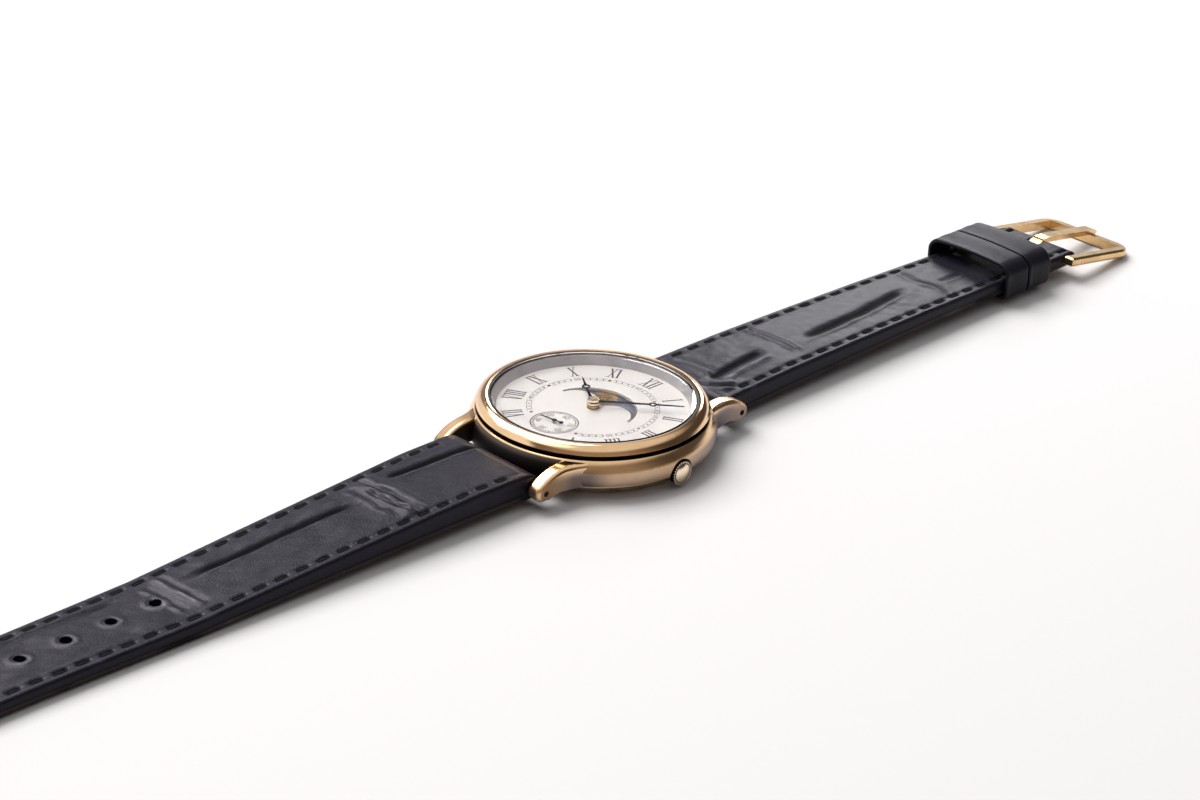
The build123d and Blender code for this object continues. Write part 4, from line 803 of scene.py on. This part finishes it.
def strap_lining(name, stations, length, tip, sign, body, end):
    """The flat leather under the padding, drawn in a little from the edges."""
    start = lining_start[1]
    if tip:
        straight = length - tip_radius
        rows = np.unique(np.concatenate([
            np.linspace(start, straight, 180),
            straight + (tip_radius - lining_inset) * np.sin(np.linspace(0, pi / 2, 20))]))
        half = tip_half(rows, length, lining_inset)
    else:
        rows = np.linspace(start, end, 200)
        half = strap_half(rows) - lining_inset
    x, s, drop = strap_loops(rows, half, top_columns=34, wall_rows=2, floor_columns=34)
    low = np.interp(s, stations[:, 0], stations[:, 1])
    top = low + lining_thick - lining_gap
    if not tip:
        under_fold = buckle_bar_height - arc(buckle_fold, s - length) - lining_gap
        top = np.where(s > buckle_fold_start, np.minimum(top, under_fold), top)
    uneven = 0.02 * (1 + ripple(x, s, seed=7, size=6.0) / 2)
    least = 0.05
    top = np.maximum(top, low + uneven + least)
    z = top * (1 - drop) + (low + uneven) * drop
    wear_and_shade = 0.4 * ripple(x, s, seed=12, size=9.0)
    grid = np.stack([x, sign * (bar_reach + s), z, wear_and_shade], -1)
    return strap_piece(name, grid, tip, "lining", body, "lining_leather")


holes = [(0.0, -(bar_reach + hole_first + k * hole_pitch), 0.0) for k in range(hole_count)]
holes_cut = (-2, 8)
tail_upper = strap_upper("holed_leather", tail_stations, tail_length, tip=True, folds=tail_folds,
                         seed=tail_seed, sign=-1, body="holed_strap")
cut(tail_upper, cutter_rods(holes, hole_radius, *holes_cut))
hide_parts("holed_strap_upper")
tail_under = strap_lining("holed_lining", tail_stations, tail_length, tip=True, sign=-1,
                          body="holed_strap", end=tail_length)
cut(tail_under, cutter_rods(holes, hole_radius, *holes_cut))
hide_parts("holed_strap_lining")

# The slot for the tongue, as its reach across, along and up
tongue_slot = [(-tongue_slot_half, tongue_slot_half),
               (bar_reach + tongue_slot_start, bar_reach + tongue_slot_end), (-1, 6)]
head_lining_end = head_length - 0.1
head_upper = strap_upper("buckle_leather", head_stations, head_length, tip=False, folds=head_folds,
                         seed=head_seed, sign=1, body="buckle_strap")
cut(head_upper, cutter_box(*tongue_slot))
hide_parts("buckle_strap_upper")
head_under = strap_lining("buckle_lining", head_stations, head_length, tip=False, sign=1,
                          body="buckle_strap", end=head_lining_end)
cut(head_under, cutter_box(*tongue_slot))
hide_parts("buckle_strap_lining")


def stitch_line(stations, length, tip, folds, seed, sign, last):
    """Places and headings of the stitches along both sides, and round the tip where there is one."""
    s = stitch_first + stitch_pitch * np.arange(int((last - stitch_first) / stitch_pitch) + 1)
    x = strap_half(s) - stitch_inset
    heading = np.arctan2(np.gradient(x), np.gradient(s))
    sides = len(s)
    if tip:
        tip_stitches = 5
        turn = np.linspace(0.12, 0.88, tip_stitches) * pi
        reach = tip_radius - stitch_inset
        s = np.concatenate([s, length - tip_radius + reach * np.sin(turn)])
        x = np.concatenate([x, reach * np.cos(turn)])
        heading = np.concatenate([heading, -turn])
    x = np.concatenate([x, -x[:sides]])
    s = np.concatenate([s, s[:sides]])
    heading = np.concatenate([heading, -heading[:sides]])
    top, _ = pad_top(x[None], s[None], stations, length, tip, folds, seed)
    return x, sign * (bar_reach + s), top[0], heading * sign


def stitches(name, line, body):
    """One short bowed thread per place: an ellipse carried along an arch, ends pulled into the leather."""
    half_length, half_width, flatness, lift, bow = 1.02, 0.3, 0.6, 0.05, 0.16
    rings, sides = 9, 8
    along, around = np.meshgrid(
        np.linspace(-1, 1, rings), np.linspace(0, 2 * pi, sides + 1)[:-1], indexing="ij")
    width = half_width * np.sqrt(np.clip(1 - along**4, 0, 1))
    rise = flatness * width * np.sin(around) + lift - bow * along**2
    shape = np.stack([width * np.cos(around), half_length * along, rise], -1).reshape(-1, 3)
    x, y, z, heading = (value[:, None] for value in line)
    points = np.stack([
        x + shape[:, 0] * np.cos(heading) + shape[:, 1] * np.sin(heading),
        y - shape[:, 0] * np.sin(heading) + shape[:, 1] * np.cos(heading),
        z + shape[:, 2]], -1).reshape(-1, 3)
    firsts = np.arange(len(x))[:, None, None] * len(shape)
    faces = firsts + grid_faces(rings, sides, ring_columns=True)[None]
    make_piece(name, points, faces.reshape(-1, 4), "thread", body, "black_leather")


tail_line = stitch_line(tail_stations, tail_length, tip=True, folds=tail_folds, seed=tail_seed, sign=-1,
                        last=tail_stitch_end)
head_line = stitch_line(head_stations, head_length, tip=False, folds=head_folds, seed=head_seed, sign=1,
                        last=head_stitch_end)
stitches("holed_stitches", tail_line, "holed_strap")
stitches("buckle_stitches", head_line, "buckle_strap")


keeper_width, fixed_keeper_start, free_keeper_start = 5.4, 92.71, 86.91


def keeper_loop(half_x, half_z, top_corner, low_corner, arch):
    """The middle of a keeper's wall as (x, z, outward x, outward z): a rectangle with round corners, whose
    top bows down to its sides as the square of x."""
    top_x, top_z = half_x - top_corner, half_z - top_corner
    low_x, low_z = half_x - low_corner, low_corner - half_z
    quarter = np.linspace(0, pi / 2, 13)
    arcs = [(top_x, top_z, quarter, top_corner), (-top_x, top_z, quarter + pi / 2, top_corner),
            (-low_x, low_z, quarter + pi, low_corner), (low_x, low_z, quarter + 3 * pi / 2, low_corner)]
    runs = []
    for (x, z, turn, corner), (next_x, next_z, _, next_corner) in zip(arcs, arcs[1:] + arcs[:1]):
        out = np.stack([np.cos(turn), np.sin(turn)], 1)
        runs.append(np.concatenate([corner * out + (x, z), out], 1))
        goal = np.concatenate([next_corner * out[-1] + (next_x, next_z), out[-1]])
        last = runs[-1][-1]
        runs.append(last + (goal - last) * np.linspace(0, 1, 26)[1:-1, None])
    loop = np.concatenate(runs)
    loop[:, 1] -= arch * (loop[:, 0] / half_x) ** 2 * smooth(loop[:, 1], 0.0, half_z)
    return loop


def keeper(name, start, body):
    """A leather loop: a flat rounded section carried round keeper_loop, with a pressed line near each edge
    and its edges paler, rubbed and partly a painted highlight."""
    inner_half, low, high, wall = 7.874, 0.95, 7.6, 0.8
    half_x, half_z = inner_half + wall / 2, (high - low) / 2 - wall / 2
    loop = keeper_loop(half_x, half_z, top_corner=2.0, low_corner=1.0, arch=0.4)
    around = np.linspace(0, 2 * pi, 41)[:-1]
    flatness, squareness = 0.45, 0.22
    half_width = keeper_width / 2
    depth = wall / 2 * np.sign(np.sin(around)) * np.abs(np.sin(around)) ** flatness
    across = half_width * np.sign(np.cos(around)) * np.abs(np.cos(around)) ** squareness
    outside = depth > 0
    pressed = np.where(outside, hill(np.abs(across) - 0.68 * half_width, 0.3), 0)
    puff = depth * (1 - 0.1 * (across / half_width) ** 2) - 0.1 * pressed
    x = loop[:, 0, None] + loop[:, 2, None] * puff[None]
    z = (high + low) / 2 + loop[:, 1, None] + loop[:, 3, None] * puff[None]
    y = np.broadcast_to(start + half_width + across[None], x.shape)
    points = np.stack([x, y, z], -1).reshape(-1, 3)
    # Paler rubbed edges outside, partly a painted highlight, and the whole loop a little darker
    rubbed_and_highlight = np.where(outside, 0.25 * hill(np.abs(across) - 0.88 * half_width, 0.5), 0) - 0.35
    wear_and_shade = np.broadcast_to(rubbed_and_highlight[None], x.shape).reshape(-1)
    faces = grid_faces(*x.shape, True, True)
    return make_piece(name, points, faces, "leather", body, "black_leather", marks=wear_and_shade)


fixed = keeper("fixed_loop", fixed_keeper_start, "buckle_strap")
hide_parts("fixed_keeper")
free = keeper("free_loop", free_keeper_start, "free_keeper")
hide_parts("free_keeper")


def flat_strokes(strokes, height):
    """Four-cornered strokes (N, 4, 2) laid flat at a height, as points and faces."""
    strokes = np.asarray(strokes, float)
    flat = strokes.reshape(-1, 2)
    points = np.concatenate([flat, np.full((len(flat), 1), height)], 1)
    area = np.cross(strokes[:, 1] - strokes[:, 0], strokes[:, 2] - strokes[:, 0])
    order = np.arange(len(flat)).reshape(-1, 4)
    order[area < 0] = order[area < 0][:, ::-1]
    return points, order


def bar(x0, x1, half, foot=0.0, head=1.0):
    """A slanted stroke from (x0, foot) to (x1, head), as wide as twice its half width."""
    return [(x0 - half, foot), (x0 + half, foot), (x1 + half, head), (x1 - half, head)]


# A Roman numeral's letters, as shares of its height
letter_widths, letter_margin = {"I": 0.62, "V": 1.3, "X": 1.35}, 0.26
thick_half, thin_half, serif_half, serif_height = 0.135, 0.065, 0.28, 0.045


def numeral_strokes(text):
    """A Roman numeral as strokes in a box of height 1, centred, with serifs at head and foot."""
    pen = -sum(letter_widths[letter] for letter in text) / 2
    strokes = []
    for letter in text:
        width = letter_widths[letter]
        left, right, middle = pen + letter_margin, pen + width - letter_margin, pen + width / 2
        if letter == "I":
            strokes.append(bar(middle, middle, thick_half))
            feet = [(middle, 0.0), (middle, 1.0)]
        elif letter == "V":
            strokes.append(bar(middle, left, thick_half))
            strokes.append(bar(middle, right, thin_half))
            feet = [(left, 1.0), (right, 1.0)]
        else:
            strokes.append(bar(right, left, thick_half))
            strokes.append(bar(left, right, thin_half))
            feet = [(left, 0.0), (right, 0.0), (left, 1.0), (right, 1.0)]
        for x, level in feet:
            inner = level - serif_height if level else serif_height
            strokes.append([(x - serif_half, level), (x + serif_half, level), (x + serif_half, inner),
                            (x - serif_half, inner)])
        pen += width
    return np.array(strokes)


def around_dial(strokes, hour):
    """A numeral's strokes set at an hour with the head outwards."""
    angle = -hour * pi / 6
    out = numeral_foot + strokes[..., 1] * (numeral_head - numeral_foot)
    side = strokes[..., 0]
    x = np.cos(angle) * side - np.sin(angle) * out
    y = np.sin(angle) * side + np.cos(angle) * out
    return np.stack([x, y], -1)


def dial_print(name, strokes):
    """Strokes of ink on the dial."""
    make_piece(name, *flat_strokes(strokes, print_height), "ink", "case", "dial_lacquer", closed=False)


numerals = {12: "XII", 1: "I", 2: "II", 3: "III", 4: "IIII", 5: "V",
            7: "VII", 8: "VIII", 9: "IX", 10: "X", 11: "XI"}
dial_print("roman_numerals", np.concatenate([
    around_dial(numeral_strokes(text), hour) for hour, text in numerals.items()]))


def ring_strokes(radius, width, start=0.0, end=2 * pi, centre=(0, 0), steps=240):
    """A flat ring, or part of one, as short strokes."""
    angle = np.linspace(start, end, steps + 1)
    inner, outer = ((radius + side * width / 2) * np.stack([np.sin(angle), np.cos(angle)], -1) + centre
                    for side in (-1, 1))
    return np.stack([inner[:-1], inner[1:], outer[1:], outer[:-1]], 1)


def tick_strokes(angles, inner, outer, width, centre=(0, 0)):
    """Short radial strokes at the given angles from twelve o'clock."""
    out = np.stack([np.sin(angles), np.cos(angles)], -1)
    side = np.stack([out[:, 1], -out[:, 0]], -1) * width / 2
    corners = [out * inner - side, out * inner + side, out * outer + side, out * outer - side]
    return np.stack(corners, 1) + centre


track_line, minute_dot_inset, minute_dot_width = 0.075, 0.16, 0.2
figure_gap, dot_gap = 0.085, 0.04


def track():
    """Two rings with a dot for each minute between them, left open at the gold dots, at the figures and
    over the small seconds."""
    parts = []
    for hour in range(12):
        if hour in (5, 6):
            continue
        start_gap, end_gap = (dot_gap, figure_gap) if hour % 2 else (figure_gap, dot_gap)
        start, end = hour * pi / 6 + start_gap, (hour + 1) * pi / 6 - end_gap
        for radius in (track_inner, track_outer):
            parts.append(ring_strokes(radius, track_line, start, end, steps=24))
    minute = np.arange(60)
    minute = minute[(minute % 5 != 0) & (np.abs(minute - 30) > 4)]
    inner, outer = track_inner + minute_dot_inset, track_outer - minute_dot_inset
    parts.append(tick_strokes(minute * pi / 30, inner, outer, minute_dot_width))
    return np.concatenate(parts)


def small_seconds():
    """Two rings with a tick for each second between them and a longer one every five."""
    inner, outer = seconds_rings
    long_tick = 0.25
    second, fifth = np.arange(60) * pi / 30, np.arange(12) * pi / 6
    return np.concatenate([
        ring_strokes(inner, width=0.09, centre=seconds_centre),
        ring_strokes(outer, width=0.15, centre=seconds_centre),
        tick_strokes(second, inner, outer, width=0.06, centre=seconds_centre),
        tick_strokes(fifth, inner - long_tick, outer, width=0.1, centre=seconds_centre),
    ])


dial_print("minute_track", track())
dial_print("seconds_print", small_seconds())


def figures(name, places, size):
    """Arabic figures: each number's outline as a mesh, its head outwards from the ring's middle."""
    points, faces, count = [], [], 0
    for text, angle, radius, centre in places:
        curve = bpy.data.curves.new("figure", "FONT")
        curve.body, curve.size, curve.align_x, curve.align_y = text, size, "CENTER", "CENTER"
        holder = link("figure", curve)
        bpy.context.view_layer.update()
        shape = bpy.data.meshes.new_from_object(holder.evaluated_get(bpy.context.evaluated_depsgraph_get()))
        flat = np.zeros(len(shape.vertices) * 3)
        shape.vertices.foreach_get("co", flat)
        flat = flat.reshape(-1, 3)[:, :2]
        out = np.array([np.sin(angle), np.cos(angle)])
        side = np.array([out[1], -out[0]])
        placed = centre + out * radius + flat[:, :1] * side + flat[:, 1:] * out
        points.append(np.concatenate([placed, np.full((len(placed), 1), print_height)], 1))
        faces += [[count + k for k in face.vertices] for face in shape.polygons]
        count += len(placed)
        bpy.data.objects.remove(holder)
    mesh = bpy.data.meshes.new(name)
    mesh.from_pydata((np.concatenate(points) * MM).tolist(), [], faces)
    finish_piece(name, mesh, "ink", "case")


track_middle, seconds_figure_reach = (track_inner + track_outer) / 2, 2.4
figures("minute_figures", [
    (str(5 * hour), hour * pi / 6, track_middle, np.zeros(2)) for hour in (2, 4, 8, 10, 12)], size=1.1)
figures("seconds_figures", [
    (str(10 * k), k * pi / 3, seconds_figure_reach, seconds_centre) for k in range(1, 7)], size=1.2)


def window_outline():
    """The window's edge: a wide arch above, and two humps and the middle collar below."""
    low_y, hump_x, hump_radius, collar_radius = 0.45, 3.5, 3.18, 1.4
    reach = arc(moon_window_radius, low_y - moon_window_centre[1])
    start = np.arctan2(low_y - moon_window_centre[1], reach)
    arch = np.linspace(start, pi - start, 160)
    points = [moon_window_centre + moon_window_radius * np.stack([np.cos(arch), np.sin(arch)], -1)]
    points.append(np.array([(-hump_x - hump_radius, low_y)]))
    hump_start = np.arcsin(low_y / hump_radius)
    hump = np.linspace(pi - hump_start, hump_start, 60)
    hump = hump_radius * np.stack([np.cos(hump), np.sin(hump)], -1)
    left, right = hump - (hump_x, 0), hump + (hump_x, 0)
    left = left[np.hypot(*left.T) > collar_radius]
    right = right[np.hypot(*right.T) > collar_radius]
    collar = np.linspace(np.arctan2(left[-1, 1], left[-1, 0]), np.arctan2(right[0, 1], right[0, 0]), 24)
    points += [left, collar_radius * np.stack([np.cos(collar), np.sin(collar)], -1), right]
    return np.concatenate(points)


def border(outline, width, height):
    """A flat line of one width along a closed outline."""
    after, before = np.roll(outline, -1, 0), np.roll(outline, 1, 0)
    along = after - before
    along /= np.hypot(*along.T)[:, None]
    side = np.stack([-along[:, 1], along[:, 0]], -1) * width / 2
    inner, outer = outline + side, outline - side
    strokes = np.stack([inner, np.roll(inner, -1, 0), np.roll(outer, -1, 0), outer], 1)
    return flat_strokes(strokes, height)


def gold_leaf(name, shape, body):
    """A thin gold form, flat or domed, on the dial or the moon disc."""
    make_piece(name, *shape, "gold_trim", body, "gold_trim", closed=False)


gold_leaf("window_border", border(window_outline(), window_line, print_height), "case")

moon_radius, moon_reach, moon_turn = 2.2, 4.2, pi * 24 / 180
moon_way = moon_reach * np.array([-np.sin(moon_turn), np.cos(moon_turn)])
moon_centres = np.array([moon_way, -moon_way])
star_count, star_reach, star_sizes, star_waist = 46, (1.8, 7.0), (0.16, 0.32), 0.4
moon_to_star, star_lift = 2.6, 0.015


def moons():
    """Two gold moons opposite each other on the disc, as domed discs of rings."""
    rings, sides, dome = 12, 64, 0.02
    radius, turn = np.meshgrid(
        np.linspace(0, moon_radius, rings), np.linspace(0, 2 * pi, sides + 1)[:-1], indexing="ij")
    height = moon_disc_top + print_lift + dome * (1 - (radius / moon_radius) ** 2)
    points, faces = [], []
    for k, (x, y) in enumerate(moon_centres):
        moon = np.stack([x + radius * np.cos(turn), y + radius * np.sin(turn), height], -1)
        points.append(moon.reshape(-1, 3))
        faces.append(grid_faces(rings, sides, ring_columns=True)[:, ::-1] + k * radius.size)
    return np.concatenate(points), np.concatenate(faces)


def stars():
    """Five-pointed stars scattered over the disc's blue between the moons."""
    corner_angle, even = np.arange(10) * pi / 5, np.arange(10) % 2 == 0
    strokes = []
    draw = np.random.default_rng(11)
    while len(strokes) < star_count * 5:
        radius, angle = draw.uniform(*star_reach), draw.uniform(0, 2 * pi)
        centre = radius * np.array([np.sin(angle), np.cos(angle)])
        if np.linalg.norm(moon_centres - centre, axis=1).min() < moon_to_star:
            continue
        size, turn = draw.uniform(*star_sizes), draw.uniform(0, 2 * pi)
        reach = np.where(even, size, size * star_waist)[:, None]
        corner = centre + reach * np.stack([np.sin(corner_angle + turn), np.cos(corner_angle + turn)], -1)
        strokes += [[centre, corner[k - 1], corner[k], corner[k + 1]] for k in range(0, 10, 2)]
    return flat_strokes(strokes, moon_disc_top + star_lift)


gold_leaf("gold_moons", moons(), "moon_disc")
gold_leaf("gold_stars", stars(), "moon_disc")

# Floor, camera and light, in metres
floor_half = 3
floor = bpy.data.meshes.new("floor")
floor.from_pydata([(x * floor_half, y * floor_half, 0) for x, y in ((-1, -1), (1, -1), (1, 1), (-1, 1))],
                  [], [(0, 1, 2, 3)])
floor_piece = link("floor", floor)
paper = Finish("paper", {"Roughness": 0.9})
paper.set({"Base Color": paper.mix(
    paper.noise(400.0), shade(0.503, 0.497, 0.5), shade(0.518, 0.512, 0.515))})
floor.materials.append(paper.material)


def look(place, right, up, back):
    """The matrix of a lamp or camera at a place that faces away from back."""
    return Matrix.Translation(place) @ Matrix(np.stack([right, up, back], 1).tolist()).to_4x4()


# The camera's axes and place, as solved for the photographed view
camera_right = np.array([0.70229551, 0.71087202, 0.03797345])
camera_up = np.array([-0.33485283, 0.28279901, 0.89883163])
camera_back = np.array([0.62821541, -0.64396094, 0.43664598])
camera_place = (0.3109, -0.3173, 0.22294)
camera_data = bpy.data.cameras.new("camera")
camera_data.lens, camera_data.sensor_width = 100.0, 36.0
camera_data.clip_start, camera_data.clip_end = 0.01, 20.0
camera = link("camera", camera_data)
camera.matrix_world = look(camera_place, camera_right, camera_up, camera_back)
scene.camera = camera


def softbox(name, place, target, size, power, tint=(1, 1, 1)):
    """A square lamp at a place that faces a target."""
    lamp = bpy.data.lights.new(name, "AREA")
    lamp.size, lamp.energy, lamp.color = size, power, tint
    back = np.array(place, float) - target
    back /= np.linalg.norm(back)
    right = np.cross((0, 0, 1), back)
    right /= np.linalg.norm(right)
    link(name, lamp).matrix_world = look(place, right, np.cross(back, right), back)


softbox("key", (-0.75, 0.0, 1.0), target=(0, 0, 0), size=0.9, power=28.0, tint=(1.0, 0.985, 0.975))
softbox("back", (-0.207, 0.315, 0.15), target=(0, 0.062, 0), size=0.09, power=0.3)


class Surroundings(Finish):
    """The studio's world: a Background shader with Finish's methods."""

    def __init__(self, name):
        self.world = bpy.data.worlds.new(name)
        self.world.use_nodes = True
        self.tree = self.world.node_tree
        self.shader = self.tree.nodes["Background"]


def studio_world():
    """A bright ceiling, a sweep of paper low behind the watch, a lit wall to the left, a lamp's glow
    overhead and a dim room behind the camera; each is a fade over the direction looked in."""
    studio = Surroundings("studio")
    east, north, height = studio.axes(studio.place("Generated"))
    ceiling = studio.fade(height, 0.5, 0.85)
    away = north * 0.45 - east * 0.9
    sweep = studio.fade(away, -0.25, 0.5) * (1.0 - studio.fade(height, 0.06, 0.28))
    wall = studio.fade(east * -0.85 - north * 0.5, 0.55, 0.75) * (1.0 - studio.fade(height, 0.7, 0.9))
    bright = studio.fade(ceiling * 0.7 + sweep + wall)
    behind = studio.fade(east - north, 0.3, 1.3)
    room = studio.mix(behind, shade(0.075, 0.062, 0.058), shade(0.3, 0.25, 0.22))
    lit = studio.mix(bright, room, shade(0.97, 0.965, 1.0))
    glow = studio.fade(height * 0.89 - east * 0.23 - north * 0.39, 0.94, 0.985)
    studio.set({"Color": studio.mix(glow, lit, shade(2.4, 2.3, 2.2))})
    return studio.world


scene.world = studio_world()
scene.view_settings.view_transform = "Standard"
